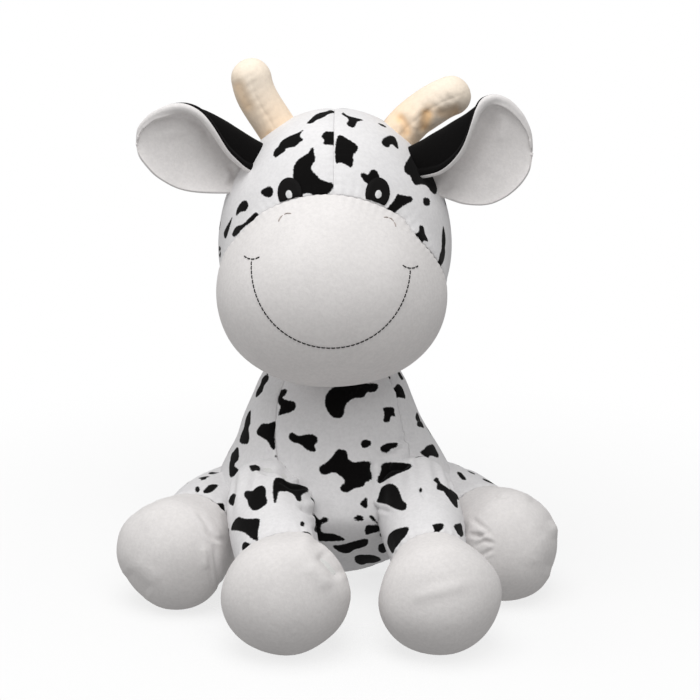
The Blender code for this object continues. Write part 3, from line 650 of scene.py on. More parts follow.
SHOULDER_PATCH = ((965, 645), (1125, 650), (1130, 680), (1060, 710), (1000, 740), (940, 775),
                  (922, 750), (945, 700))
TORSO_PATCHES = (
    ((680, 160), (800, 150), (920, 148), (925, 180), (905, 200), (860, 205), (835, 235),
     (780, 240), (740, 265), (720, 300), (710, 350), (680, 365), (640, 355), (605, 310),
     (595, 260), (605, 215), (640, 175)),
    ((345, 182), (358, 192), (350, 215), (328, 236), (360, 252), (405, 262), (413, 300),
     (385, 325), (340, 338), (303, 347), (308, 320), (318, 290), (298, 268), (291, 240),
     (297, 208), (320, 188)),
    ((290, 385), (290, 440), (280, 470), (285, 555), (262, 558), (240, 515), (200, 485),
     (168, 465), (172, 435), (200, 400), (240, 398)),
    ((395, 455), (430, 475), (500, 465), (545, 480), (548, 510), (530, 540), (538, 575),
     (490, 568), (440, 530), (395, 515), (370, 495), (372, 465)),
    ((700, 560), (735, 575), (740, 620), (780, 640), (830, 635), (885, 640), (878, 680),
     (892, 740), (850, 770), (830, 795), (780, 805), (740, 830), (700, 825), (692, 795),
     (720, 765), (700, 735), (650, 705), (600, 720), (565, 710), (560, 670), (600, 645),
     (645, 600), (670, 565)),
    ((845, 498), (885, 510), (880, 535), (850, 552), (825, 545), (822, 515)),
    ((1050, 150), (1075, 165), (1090, 195), (1100, 240), (1060, 235), (1020, 245),
     (1000, 225), (1000, 195), (1030, 172)),
    ((960, 300), (1025, 298), (1030, 330), (1040, 355), (1010, 352), (1000, 385), (970, 390),
     (960, 375), (968, 340)),
    ((1170, 328), (1190, 355), (1215, 385), (1215, 425), (1190, 420), (1160, 428), (1158, 390)),
    ((985, 522), (1050, 518), (1045, 545), (1010, 560), (985, 582), (945, 570), (945, 545)),
    ((1285, 530), (1305, 575), (1305, 612), (1260, 600), (1235, 618), (1205, 600),
     (1185, 580), (1215, 560), (1240, 535)),
    ((235, 90), (243, 120), (225, 150), (210, 190), (165, 235), (165, 200), (190, 150),
     (205, 110)),
    ((130, 315), (128, 400), (130, 470), (110, 525), (60, 515), (75, 450), (95, 380),
     (110, 340)),
    ((50, 545), (55, 620), (25, 660), (60, 695), (0, 735), (0, 610), (25, 570)),
    ((395, 130), (440, 128), (515, 152), (470, 155), (410, 145)),
    oval(280, 596, 297, 614), oval(988, 100, 1009, 119),
    ((218, 50), (236, 52), (250, 82), (232, 84)),
    ((1050, 82), (1068, 80), (1088, 118), (1070, 122)),
    ((860, 858), (858, 930), (825, 915), (815, 900), (840, 870)),
    ((810, 970), (842, 995), (820, 1010), (770, 1000)),
    ((520, 960), (560, 1000), (590, 984), (622, 995), (610, 1015), (575, 1030), (570, 1070),
     (600, 1085), (660, 1092), (725, 1125), (690, 1135), (560, 1136), (525, 1120), (518, 1040)),
    ((860, 1120), (855, 1165), (780, 1190), (740, 1212), (690, 1205), (640, 1165),
     (700, 1158), (780, 1135)),
    ((785, 1230), (860, 1218), (940, 1240), (935, 1285), (850, 1290), (790, 1270)),
    ((865, 1035), (940, 1040), (940, 1070), (880, 1090), (850, 1095), (848, 1055)),
    oval(938, 1078, 972, 1112), oval(928, 1148, 987, 1212),
    ((868, 973), (900, 980), (915, 1005), (938, 1030), (900, 1012), (880, 995)),
    SHOULDER_PATCH,
)
REPEAT_PATCHES = [np.array(patch) * (1, -1) * PIXEL_SIZE / BODY_CROP[2]
                  for patch in TORSO_PATCHES[:REPEAT_SHAPES]]
print_cloth(torso_panels, ((BODY_CROP, TORSO_PATCHES),), seed=5)

fill_turns = np.linspace(0, 2 * pi, FILLING_COLUMNS["torso"], endpoint=False)
fill_points, _ = torso_form(fill_turns, FILLING_ROWS, FILLING_DEPTH)
fill_points[..., 2] = np.maximum(fill_points[..., 2], FILLING_DEPTH)
torso_fill = cloth("torso_fibre", fill_points, TORSO_MIDDLE, closed=True, thickness=0)
wear(torso_fill, filling_fibre, "torso", "torso_filling")


# ---------------------------------------------------------------------------
# Legs: stuffed tubes of the printed plush, gathered where they are sewn to the torso.
# Each ends in a plain white paw or foot, a fuller bag sewn on at a cuff seam.
# ---------------------------------------------------------------------------
FLOOR_FLAT = 0.0005
SHOULDER_BALL = 0.0285
HIP_BALL = 0.035
LIMB_COLUMNS = 168
SLEEVE_ROWS, END_ROWS = 110, 100
BALL_STEPS, SLEEVE_STEPS = 8, 12
LIMB_LUMP_SIZE, LIMB_LUMP_SHARE = 0.05, 0.8
GATHER_DEPTH = 0.0011
GATHER_COUNT = 13
GATHER_PLACE, GATHER_REACH, GATHER_SLANT = 0.010, 0.020, 60
CUFF_SEAM_DEPTH = 0.0013
CUFF_SEAM_WIDTH = 0.0022
CUFF_FLARE, CUFF_FLARE_REACH = 0.0014, 0.009
# A paw from cuff (0) to widest (about 1) to toe (2): share of the way and of its radius,
# where the radius before 1 is a share of the widening from the cuff.
END_OUTLINE = (
    (0.0, 0.0), (0.33, 0.40), (0.66, 0.72), (0.97, 0.92), (1.14, 1.0), (1.34, 0.97),
    (1.54, 0.87), (1.73, 0.69), (1.88, 0.47), (1.97, 0.24), (2.0, 0.0),
)
CUFF_PUCKERS, PUCKERS_UNEVEN, GATHERS_UNEVEN = 26, 1.3, 1.1
CUFF_PUCKER_DEPTH, CUFF_PUCKER_REACH = 0.0004, 0.006

LIMB_SIZES = {
    "arm_left": dict(ball=SHOULDER_BALL, cuff_at=0.080, length=0.104, end_radius=0.0445,
                     end_length=0.044, cuff_share=0.674, swell=0.0022, spread=-10, sign=-1),
    "arm_right": dict(ball=SHOULDER_BALL, cuff_at=0.080, length=0.110, end_radius=0.0425,
                      end_length=0.044, cuff_share=0.6235, swell=0.0030, spread=7, sign=1),
    "leg_left": dict(ball=HIP_BALL, cuff_at=0.062, length=0.097, end_radius=0.0415,
                     end_length=0.038, cuff_share=0.807, swell=0.003, spread=22.4, sign=-1),
    "leg_right": dict(ball=HIP_BALL, cuff_at=0.062, length=0.097, end_radius=0.0415,
                      end_length=0.038, cuff_share=0.807, swell=0.003, spread=29.3, sign=1),
}
WHOLE_PHOTO = (0, 0, 1)
LIMB_FOLDS = {
    "leg_left": (WHOLE_PHOTO, (
        (-0.0012, 2.6, ((198, 512), (208, 528), (216, 540))),
        (-0.0011, 2.0, ((204, 530), (212, 538), (222, 541))),
        (-0.0010, 2.0, ((214, 546), (217, 565), (220, 592))),
        (-0.0005, 1.8, ((208, 556), (211, 572), (213, 588))),
        (0.0012, 5.0, ((205, 545), (206, 570))),
        (-0.0020, 8.0, ((128, 512), (140, 502), (155, 495))),
        (-0.0020, 8.0, ((123, 572), (135, 584), (150, 596))),
    )),
    "leg_right": (WHOLE_PHOTO, (
        (-0.0017, 2.1, ((472, 519), (480, 525), (487, 531))),
        (-0.0018, 2.0, ((468, 534), (480, 536), (489, 533))),
        (-0.0014, 1.8, ((476, 546), (484, 541), (494, 544))),
        (-0.0012, 1.8, ((478, 557), (486, 553), (493, 549))),
        (-0.0009, 1.8, ((486, 566), (490, 575), (494, 590))),
        (-0.0012, 1.6, ((494, 492), (500, 496), (508, 497))),
        (0.0016, 3.0, ((480, 529), (488, 538))),
        (-0.0042, 11.0, ((530, 488), (549, 503), (561, 525))),
        (-0.0040, 11.0, ((563, 530), (562, 555), (553, 578))),
    )),
    "arm_left": (BODY_CROP, (
        (-0.0045, 6.0, ((150, 650), (250, 655), (350, 695), (420, 745))),
        (-0.0022, 1.8, ((190, 700), (290, 724), (400, 762), (470, 795))),
        (0.0046, 6.0, ((440, 800), (500, 865), (530, 925))),
        (-0.0028, 2.4, ((440, 925), (490, 950), (545, 968))),
        (-0.0030, 6.0, ((545, 1030), (560, 1090), (565, 1150))),
        (-0.0010, 1.1, ((305, 775), (380, 800), (475, 835))),
        (-0.0008, 1.0, ((375, 755), (420, 762), (455, 790))),
        (-0.0050, 8.0, ((560, 1190), (640, 1270), (715, 1370))),
    )),
    "arm_right": (BODY_CROP, (
        (-0.0024, 1.8, ((940, 730), (1010, 690), (1125, 655))),
        (-0.0020, 1.5, ((915, 790), (955, 745), (1000, 700))),
        (-0.0026, 2.4, ((1030, 612), (1090, 610), (1160, 590), (1210, 575))),
        (0.0062, 6.5, ((960, 760), (905, 850), (900, 930))),
        (-0.0014, 1.6, ((1188, 795), (1200, 830), (1220, 870))),
        (-0.0012, 2.0, ((870, 880), (930, 930), (1010, 955))),
        (-0.0012, 1.6, ((1380, 735), (1392, 790), (1430, 850))),
        (0.0012, 7.0, ((1130, 1500), (1300, 1450), (1500, 1400))),
    )),
}
JOINT_PLACES = {joint["child"]: joint["pos_m"] for joint in frame["record"]["behaviour"]["joints"]}


def limb_frame(name):
    """Joint, then the directions down the limb, across it and up from it."""
    sizes = LIMB_SIZES[name]
    joint = Vector(JOINT_PLACES[name])
    drop = joint.z - (sizes["end_radius"] - FLOOR_FLAT)
    level = sqrt(sizes["length"]**2 - drop**2)
    spread = sizes["sign"] * radians(sizes["spread"])
    down = Vector((sin(spread) * level, -cos(spread) * level, -drop)) / sizes["length"]
    across = down.cross(Vector((0, 0, 1))).normalized()
    return joint, down, across, across.cross(down).normalized()


def limb_outline(sizes):
    """Radius and reach of the sleeve from the joint's ball to the cuff, then of the end."""
    cuff = sizes["end_radius"] * sizes["cuff_share"]
    sleeve = []
    for step in range(BALL_STEPS + 1):
        angle = pi / 2 * (1 - step / BALL_STEPS)
        sleeve.append((sizes["ball"] * cos(angle) if step else 0.0, -sizes["ball"] * sin(angle)))
    for step in range(1, SLEEVE_STEPS + 1):
        share = step / SLEEVE_STEPS
        radius = sizes["ball"] + (cuff - sizes["ball"]) * share
        sleeve.append((radius + sizes["swell"] * sin(pi * share), sizes["cuff_at"] * share))
    widening = 1 - sizes["cuff_share"]
    end = []
    for share, radius in END_OUTLINE:
        if share < 1:
            reach = sizes["cuff_at"] + (sizes["length"] - sizes["cuff_at"]) * share
            radius = sizes["cuff_share"] + widening * radius
        else:
            reach = sizes["length"] + sizes["end_length"] * (share - 1)
        end.append((sizes["end_radius"] * radius, reach))
    lines = smooth_line(sleeve, SLEEVE_ROWS), smooth_line(end, END_ROWS)
    for line in lines:
        from_cuff = (line[:, 1] - sizes["cuff_at"]) / CUFF_FLARE_REACH
        line[:, 0] += CUFF_FLARE * np.exp(-(from_cuff**2))
    return lines


def limb_points(name, line, bury=0.0, gathers=True):
    """A limb's surface from an outline of radius and reach."""
    sizes = LIMB_SIZES[name]
    joint, down, across, up = (np.array(part) for part in limb_frame(name))
    turns = np.linspace(0, 2 * pi, LIMB_COLUMNS, endpoint=False)
    radius, reach = line[:, :1], line[:, 1:]
    base = joint + down * reach[..., None]
    ring = across * np.cos(turns)[:, None] + up * np.sin(turns)[:, None]
    points = base + ring[None] * radius[..., None]
    normals = face_outward(points, joint + down * sizes["length"] / 2)
    seed = sum(map(ord, name))
    lump = waves(points, LIMB_LUMP_SIZE, seed) * STUFFING_UNEVENNESS * LIMB_LUMP_SHARE
    from_cuff = np.abs(reach - sizes["cuff_at"])
    inset = CUFF_SEAM_DEPTH * np.exp(-((from_cuff / CUFF_SEAM_WIDTH) ** 2))
    puckers = np.sin(turns * CUFF_PUCKERS + PUCKERS_UNEVEN * np.sin(3 * turns + seed))
    inset = inset + CUFF_PUCKER_DEPTH * puckers * np.exp(-from_cuff / CUFF_PUCKER_REACH)
    if gathers:
        near_top = np.exp(-((reach - GATHER_PLACE) / GATHER_REACH) ** 2)
        folds = np.sin(turns * GATHER_COUNT + GATHERS_UNEVEN * np.sin(2 * turns + seed)
                       + reach * GATHER_SLANT)
        inset = inset + GATHER_DEPTH * folds * near_top
        inset = inset - fold_heights(points, normals, *LIMB_FOLDS[name])
    return rest_on_floor(points + normals * (lump - inset - bury)[..., None])


sleeves, limb_fills = {}, {}
white_plush = plush("white_plush", (0.80, 0.775, 0.765))
for limb_name, sleeve_node, end_node in (
    ("arm_left", "sleeve", "paw"),
    ("arm_right", "sleeve", "paw"),
    ("leg_left", "thigh", "foot"),
    ("leg_right", "thigh", "foot"),
):
    sleeve_line, end_line = limb_outline(LIMB_SIZES[limb_name])
    whole = np.vstack([sleeve_line, end_line[1:]])[::3]
    joint, down, across, up = limb_frame(limb_name)
    middle = joint + down * (LIMB_SIZES[limb_name]["length"] / 2)
    sleeves[limb_name] = cloth(f"{limb_name}_{sleeve_node}_cloth",
                               limb_points(limb_name, sleeve_line), middle, closed=True)
    end_piece = cloth(f"{limb_name}_{end_node}_cloth", limb_points(limb_name, end_line),
                      middle, closed=True)
    limb_fills[limb_name] = cloth(f"{limb_name}_fibre",
                                  limb_points(limb_name, whole, FILLING_DEPTH, False),
                                  middle, closed=True, thickness=0)
    wear(sleeves[limb_name], print_plush, None, f"{limb_name}_{sleeve_node}")
    wear(end_piece, white_plush, limb_name, f"{limb_name}_{end_node}")
    wear(limb_fills[limb_name], filling_fibre, None,
         f"{limb_name}_filling")

THIGH_CROP = (110, 470, 6.03)
SLEEVE_PATCHES = {
    "arm_left": (BODY_CROP, (
        ((285, 740), (340, 745), (420, 765), (485, 800), (485, 830), (450, 845), (445, 885),
         (420, 880), (395, 840), (340, 825), (305, 830), (290, 890), (275, 890), (268, 800)),
        ((205, 788), (225, 810), (225, 850), (230, 900), (160, 945), (120, 920), (108, 880),
         (88, 850), (100, 820), (140, 820), (170, 795)),
        oval(-12, 835, 50, 915),
        ((55, 985), (100, 995), (180, 995), (185, 1030), (175, 1080), (172, 1135),
         (130, 1115), (95, 1085), (40, 1070), (5, 1065), (25, 1010)),
        ((90, 1140), (125, 1152), (160, 1175), (120, 1190), (85, 1208), (75, 1170)),
        oval(440, 1010, 468, 1045),
        ((450, 1078), (500, 1085), (522, 1130), (510, 1172), (470, 1178), (442, 1120)),
        oval(325, 1130, 350, 1146),
        ((120, 662), (150, 655), (188, 672), (180, 705), (140, 700)),
    )),
    "arm_right": (BODY_CROP, (
        SHOULDER_PATCH,
        ((1000, 775), (1040, 790), (1065, 830), (1080, 875), (1108, 905), (1095, 943),
         (1040, 935), (980, 905), (920, 890), (930, 860), (950, 800)),
        ((1300, 735), (1320, 770), (1355, 795), (1385, 810), (1378, 735), (1390, 790),
         (1420, 830), (1448, 870), (1425, 875), (1430, 925), (1405, 920), (1370, 895),
         (1335, 870), (1320, 830), (1295, 810), (1298, 775), (1275, 755)),
        ((1118, 1048), (1110, 1090), (1070, 1140), (1035, 1185), (1020, 1215), (1000, 1185),
         (985, 1140), (1000, 1090), (1050, 1058)),
        ((1268, 1035), (1300, 1025), (1335, 1025), (1338, 1050), (1310, 1080), (1275, 1100),
         (1280, 1065)),
        ((1402, 1040), (1460, 1020), (1470, 1050), (1465, 1090), (1450, 1112), (1402, 1105)),
        oval(1184, 800, 1206, 832),
    )),
    "leg_left": (THIGH_CROP, (
        ((600, 90), (650, 88), (640, 110), (600, 138), (560, 135)),
        oval(513, 98, 542, 136),
        ((680, 200), (690, 275), (640, 250), (600, 220)),
    )),
    "leg_right": (BODY_CROP, (
        ((1420, 700), (1450, 705), (1482, 750), (1455, 752)),
    )),
}
for limb_name, (crop, patches) in SLEEVE_PATCHES.items():
    print_cloth([sleeves[limb_name]], ((crop, patches),),
                seed=len(limb_name) * 7 + len(patches))
    joint, down, across, up = limb_frame(limb_name)
    for piece in (sleeves[limb_name], limb_fills[limb_name]):
        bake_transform(piece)

# ---------------------------------------------------------------------------
# Head: a round crown in two panels, joined over the forehead, and a broad white snout
# panel sewn to it along an arch under the eyes. The stuffing makes the snout the fullest.
# ---------------------------------------------------------------------------
SKULL_CENTRE = np.array((0.0, -0.017, 0.262))
SKULL_HALF_SIZES = np.array((0.0865, 0.086, 0.096))
SKULL_TAPER_SHARE = 0.05
MUZZLE_CENTRE = np.array((-0.0020, -0.057, 0.238))
FACE_CENTRE = np.array((0.0, -0.057, 0.238))
MUZZLE_HALF_SIZES = np.array((0.083, 0.084, 0.076))
MUZZLE_TAPER_SHARE = 0.14
HEAD_MIDDLE = np.array((0.0, -0.040, 0.245))
HEAD_BLEND = 0.007
CHEEK_DROP = 0.135
CHEEK_FROM, CHEEK_FADE = 0.72, 0.22
CHEEK_RISE, CHEEK_BASE, LEFT_CHEEK_SHARE = 1.6, 0.9, 0.5
HEAD_UNIT = 0.085
TAPER_REACH = 1.2
SKIN_NEAREST, SKIN_FURTHEST, SKIN_HALVINGS = 0.02, 0.16, 34
ARCH_FIRST, ARCH_LAST, ARCH_HALVINGS = radians(20), radians(160), 30
NORMAL_STEP = 0.0005
MUZZLE_ROWS = 120
MUZZLE_COLUMNS = 420
CROWN_ROWS = 150
CROWN_COLUMNS = 220
CROWN_COLUMNS_TO_SEAMS = 0.11
HEAD_LUMP_SHARE, MUZZLE_LUMP_SIZE, CROWN_LUMP_SIZE = 0.7, 0.07, 0.08
FOREHEAD_SEAM_SHARE = 0.8


def egg_field(points, centre, sizes, taper_share):
    """About the distance outside an egg that narrows towards its top."""
    place = (points - centre) / sizes
    side = place[..., 0] / (1 - taper_share * np.clip(place[..., 2], -TAPER_REACH, TAPER_REACH))
    length = np.sqrt(side**2 + place[..., 1] ** 2 + place[..., 2] ** 2)
    return (length - 1) * HEAD_UNIT


def skull_field(points):
    """About the distance outside the crown."""
    return egg_field(points, SKULL_CENTRE, SKULL_HALF_SIZES, SKULL_TAPER_SHARE)


def muzzle_field(points):
    """About the distance outside the snout."""
    return egg_field(points, MUZZLE_CENTRE, MUZZLE_HALF_SIZES, MUZZLE_TAPER_SHARE)


def head_field(points):
    """The crown and snout together, rounded a little where they meet."""
    skull, muzzle = skull_field(points), muzzle_field(points)
    share = np.clip(0.5 + 0.5 * (muzzle - skull) / HEAD_BLEND, 0, 1)
    return muzzle * (1 - share) + skull * share - HEAD_BLEND * share * (1 - share)


def out_to_skin(directions, field, level=0.0):
    """Points where lines from the head's middle leave a form."""
    low = np.full(directions.shape[:-1], SKIN_NEAREST)
    high = np.full(directions.shape[:-1], SKIN_FURTHEST)
    for _ in range(SKIN_HALVINGS):
        middle = (low + high) / 2
        outside = field(HEAD_MIDDLE + directions * middle[..., None]) > level
        high = np.where(outside, middle, high)
        low = np.where(outside, low, middle)
    return HEAD_MIDDLE + directions * low[..., None]


def skin_normals(points, field):
    """Directions straight out of a form."""
    normals = np.stack([field(points + step) - field(points - step)
                        for step in np.eye(3) * NORMAL_STEP], -1)
    return normals / np.linalg.norm(normals, axis=-1, keepdims=True)


def head_directions(tilt, turns):
    """Directions from straight ahead (tilt 0) to straight back (tilt pi)."""
    tilt, turns = np.broadcast_arrays(tilt, turns)
    return np.stack([np.sin(tilt) * np.cos(turns), -np.cos(tilt),
                     np.sin(tilt) * np.sin(turns)], -1)


def arch_tilt(turns):
    """Where the snout's seam lies: where crown and snout cross, or lower at the cheeks."""
    low = np.full(turns.shape, ARCH_FIRST)
    high = np.full(turns.shape, ARCH_LAST)
    for _ in range(ARCH_HALVINGS):
        middle = (low + high) / 2
        points = out_to_skin(head_directions(middle, turns), head_field)
        snout = muzzle_field(points) < skull_field(points)
        low = np.where(snout, middle, low)
        high = np.where(snout, high, middle)
    cheek = eased(np.clip((np.abs(np.cos(turns)) - CHEEK_FROM) / CHEEK_FADE, 0, 1))
    cheek = cheek * np.clip(np.sin(turns) * CHEEK_RISE + CHEEK_BASE, 0, 1)
    return low - CHEEK_DROP * cheek * np.where(np.cos(turns) > 0, 1.0, LEFT_CHEEK_SHARE)


turns = np.linspace(0, 2 * pi, MUZZLE_COLUMNS, endpoint=False)
tilts = arch_tilt(turns) * np.linspace(0, 1, MUZZLE_ROWS)[:, None]
points = out_to_skin(head_directions(tilts, turns), head_field)
from_middle = lengths_along(points)
dip = seam_crease(from_middle[-1:] - from_middle, lengths_along(points[-1:], 1))
lump = waves(points, MUZZLE_LUMP_SIZE, seed=21) * STUFFING_UNEVENNESS * HEAD_LUMP_SHARE
points = points + skin_normals(points, head_field) * (lump - dip)[..., None]
muzzle_piece = cloth("muzzle_cloth", points, HEAD_MIDDLE, closed=True)
wear(muzzle_piece, white_plush, "head", "muzzle_panel")

crown_pieces = []
for side, first_turn in (("right", -pi / 2), ("left", pi / 2)):
    share = np.linspace(0, 1, CROWN_COLUMNS)
    turns = first_turn + pi * (share - CROWN_COLUMNS_TO_SEAMS * np.sin(2 * pi * share))
    edge = arch_tilt(turns)
    tilts = edge + (pi - edge) * np.linspace(0, 1, CROWN_ROWS)[:, None]
    points = out_to_skin(head_directions(tilts, turns), head_field)
    dip = seam_crease(lengths_along(points), lengths_along(points[:1], 1))
    forehead_seam = seam_crease(np.abs(points[..., 0]), lengths_along(points))
    dip = dip + forehead_seam * FOREHEAD_SEAM_SHARE
    lump = waves(points, CROWN_LUMP_SIZE, seed=33) * STUFFING_UNEVENNESS * HEAD_LUMP_SHARE
    points = points + skin_normals(points, head_field) * (lump - dip)[..., None]
    piece = cloth(f"crown_{side}", points, HEAD_MIDDLE)
    wear(piece, print_plush, "head", f"crown_{side}_panel")
    crown_pieces.append(piece)

HORN_CROP = (215, 40, 6.0)
FACE_CROP = (190, 190, 5.6)
EYE_CROP = (260, 150, 9.8)
EAR_CROP = (380, 60, 9.8)
CROWN_PATCHES = (
    (HORN_CROP, (
        ((533, 538), (510, 572), (530, 600), (510, 612), (480, 640), (450, 645), (420, 655),
         (385, 690), (362, 705), (355, 685), (375, 650), (400, 605), (450, 575), (490, 560)),
        ((752, 418), (748, 434), (690, 442), (650, 465), (610, 480), (580, 500), (550, 500),
         (575, 474), (600, 450), (650, 430), (700, 420)),
        ((770, 435), (800, 455), (890, 480), (855, 490), (840, 520), (820, 525), (790, 505),
         (800, 475), (760, 445)),
        ((975, 498), (1010, 508), (1030, 525), (1005, 518)),
        ((660, 550), (700, 550), (735, 552), (735, 595), (735, 635), (700, 630), (650, 625),
         (655, 600), (640, 580)),
        ((740, 572), (790, 590), (855, 635), (850, 670), (830, 690), (830, 740), (815, 765),
         (780, 745), (745, 735), (725, 740), (720, 650)),
        ((1055, 573), (1085, 590), (1100, 655), (1060, 625), (1040, 645), (1005, 630),
         (1003, 600), (1030, 580)),
        oval(1254, 954, 1290, 990),
    )),
    (EYE_CROP, (
        ((540, 60), (540, 110), (510, 150), (503, 180), (520, 215), (560, 250), (590, 285),
         (660, 310), (715, 325), (718, 370), (680, 420), (640, 440), (530, 450), (505, 432),
         (430, 428), (410, 470), (330, 400), (325, 300), (325, 200), (340, 140), (380, 90),
         (440, 50), (480, 20), (500, -20), (525, -20), (530, 30)),
        ((985, 240), (1010, 222), (1060, 240), (1080, 205), (1115, 190), (1150, 210),
         (1170, 260), (1175, 300), (1150, 330), (1085, 370), (1060, 340), (1020, 305),
         (995, 270)),
        ((5, 415), (30, 385), (90, 355), (125, 385), (130, 420), (110, 455), (75, 465),
         (30, 445)),
        ((1235, 590), (1270, 545), (1320, 480), (1350, 430), (1385, 440), (1430, 450),
         (1480, 455), (1500, 490), (1470, 515), (1400, 550), (1370, 575), (1315, 615),
         (1270, 600)),
        ((130, 50), (140, 10), (160, -20), (250, -20), (240, 15), (190, 50), (155, 75)),
    )),
    (EAR_CROP, (
        ((300, 930), (270, 980), (250, 1010), (235, 1060), (245, 1100), (290, 1140),
         (300, 1185), (345, 1225), (420, 1220), (470, 1245), (500, 1290), (545, 1315),
         (560, 1250), (520, 1150), (440, 1050), (380, 950), (330, 905)),
    )),
    (FACE_CROP, (
        ((310, 58), (327, 80), (315, 115), (280, 125), (258, 148), (262, 110), (285, 70)),
        ((365, 126), (385, 138), (360, 168), (310, 203), (280, 233), (255, 261), (235, 253),
         (255, 208), (300, 188), (335, 153)),
        ((240, 145), (225, 200), (200, 275), (190, 235), (225, 170)),
        ((160, 318), (172, 322), (172, 375), (160, 372)),
        ((1308, 45), (1342, 50), (1340, 86), (1310, 84)),
        ((1285, 200), (1308, 205), (1315, 240), (1335, 285), (1310, 285), (1297, 298),
         (1275, 265), (1250, 248), (1280, 235)),
        ((1418, 200), (1430, 260), (1430, 340), (1420, 400), (1396, 430), (1382, 410),
         (1392, 380), (1408, 330), (1410, 260)),
    )),
)
print_cloth(crown_pieces, CROWN_PATCHES, seed=29)

fill_turns = np.linspace(0, 2 * pi, FILLING_COLUMNS["head"], endpoint=False)
directions = head_directions(np.linspace(0, pi, FILLING_ROWS)[:, None], fill_turns)
head_fill = cloth("head_fibre", out_to_skin(directions, head_field, -FILLING_DEPTH),
                  HEAD_MIDDLE, closed=True, thickness=0)
wear(head_fill, filling_fibre, "head", "head_filling")


# ---------------------------------------------------------------------------
# Face: eyes embroidered in rows of satin stitch with a white highlight on each, and a
# mouth and nostrils in running stitch, each stitch drawn down into the snout's cloth.
# ---------------------------------------------------------------------------
EYE_SIDE = 0.0305
EYE_HEIGHT = 0.3065
EYE_HALF_SIZES = (0.0086, 0.0101)
EYE_LIFT = 0.0006
EYE_RISE = 0.0007
HIGHLIGHT_HALF_SIZES = (0.0022, 0.0026)
HIGHLIGHT_DROP = 0.0010
HIGHLIGHT_LIFT, HIGHLIGHT_RISE = 0.0006, 0.0003
SATIN_THICKNESS = 0.0009
SATIN_PITCH = 0.00056
SATIN_RIDGE, RIDGE_AT_EDGE = 0.00010, 0.3
SATIN_ROWS_PER_STITCH, SATIN_COLUMNS = 5, 44
SATIN_JITTER = 0.00012
SATIN_END_SHARE, SATIN_PROBES = 0.998, 41
SATIN_DOME_WIDTH = 0.0030
SATIN_FROM_SNOUT, DOME_FROM_SNOUT = 0.0008, 0.0006
SNOUT_LEAN = radians(3)
MOUTH_SIDE, MOUTH_RISE, MOUTH_RADIUS = -0.0030, 0.0235, 0.0548
MOUTH_END_ANGLE = 0.022
CORNER_HALF_LENGTH, CORNER_CURVE = 0.0058, 0.0016
CORNER_LEAN = {"left": 0.0012, "right": -0.0011}
NOSTRIL_SIDE, NOSTRIL_RISE, NOSTRIL_RADIUS = 0.0325, 0.0555, 0.0085
NOSTRIL_LEAN, NOSTRIL_ARC = radians(35), radians(40)
THREAD_RADIUS = 0.00042
STITCH_AROUND, STITCH_STEPS = 12, 17
STITCH_RISE, STITCH_SINK, STITCH_TAPER = 1.9, 1.1, 3.2
PLY_DEPTH, PLY_TWIST = 0.13, 9
STITCH_ARCH, STITCH_END_SHARE = 0.6, 0.004
STITCH_LINE_POINTS, MOUTH_POINTS = 900, 41
BEFORE_FACE, BEFORE_HEAD = -0.2, -0.3
MOUTH_STITCH, CORNER_STITCH, NOSTRIL_STITCH = (0.0032, 0.0002), (0.0040, 0.0002), (0.0056, 0.0001)


def thread(name, colour, roughness):
    """Twisted sewing thread: a slight gloss along its fine plies."""
    # The plies get painted shade between them, darker by the given share.
    return spun(name, colour, shade=0.7, curl=dict(scale=2600.0, detail=3.0),
                relief=dict(strength=0.5, distance=0.0001),
                values={"Roughness": roughness, "Specular IOR Level": 0.08})


def sew_on(piece, material, node):
    """Gives stitches their material and the head as their body, and hides the solid that they stand
    in for.
    """
    piece.data.materials.append(material)
    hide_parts(node)
    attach(piece, "head")


black_thread = thread("black_thread", (0.0045, 0.004, 0.004), 0.7)
white_thread = thread("white_thread", (0.82, 0.82, 0.82), 0.5)
# The nostrils' thread is white; this greige is painted shade for the shadow in their stitched
# grooves.
nostril_shade_thread = thread("nostril_thread_painted_shade", (0.50, 0.44, 0.41), 0.7)
crown_trees = [cloth_tree(piece.data) for piece in crown_pieces]
muzzle_tree = cloth_tree(muzzle_piece.data)


def on_crown(side, height):
    """The crown's cloth straight behind a place in front of the face, or nothing."""
    found = []
    for tree in crown_trees:
        place, _, _, distance = tree.ray_cast(Vector((side, BEFORE_HEAD, height)),
                                               Vector((0, 1, 0)))
        if place is not None and place.y < HEAD_MIDDLE[1]:
            found.append((distance, np.array(place)))
    return min(found, key=lambda item: item[0])[1] if found else None


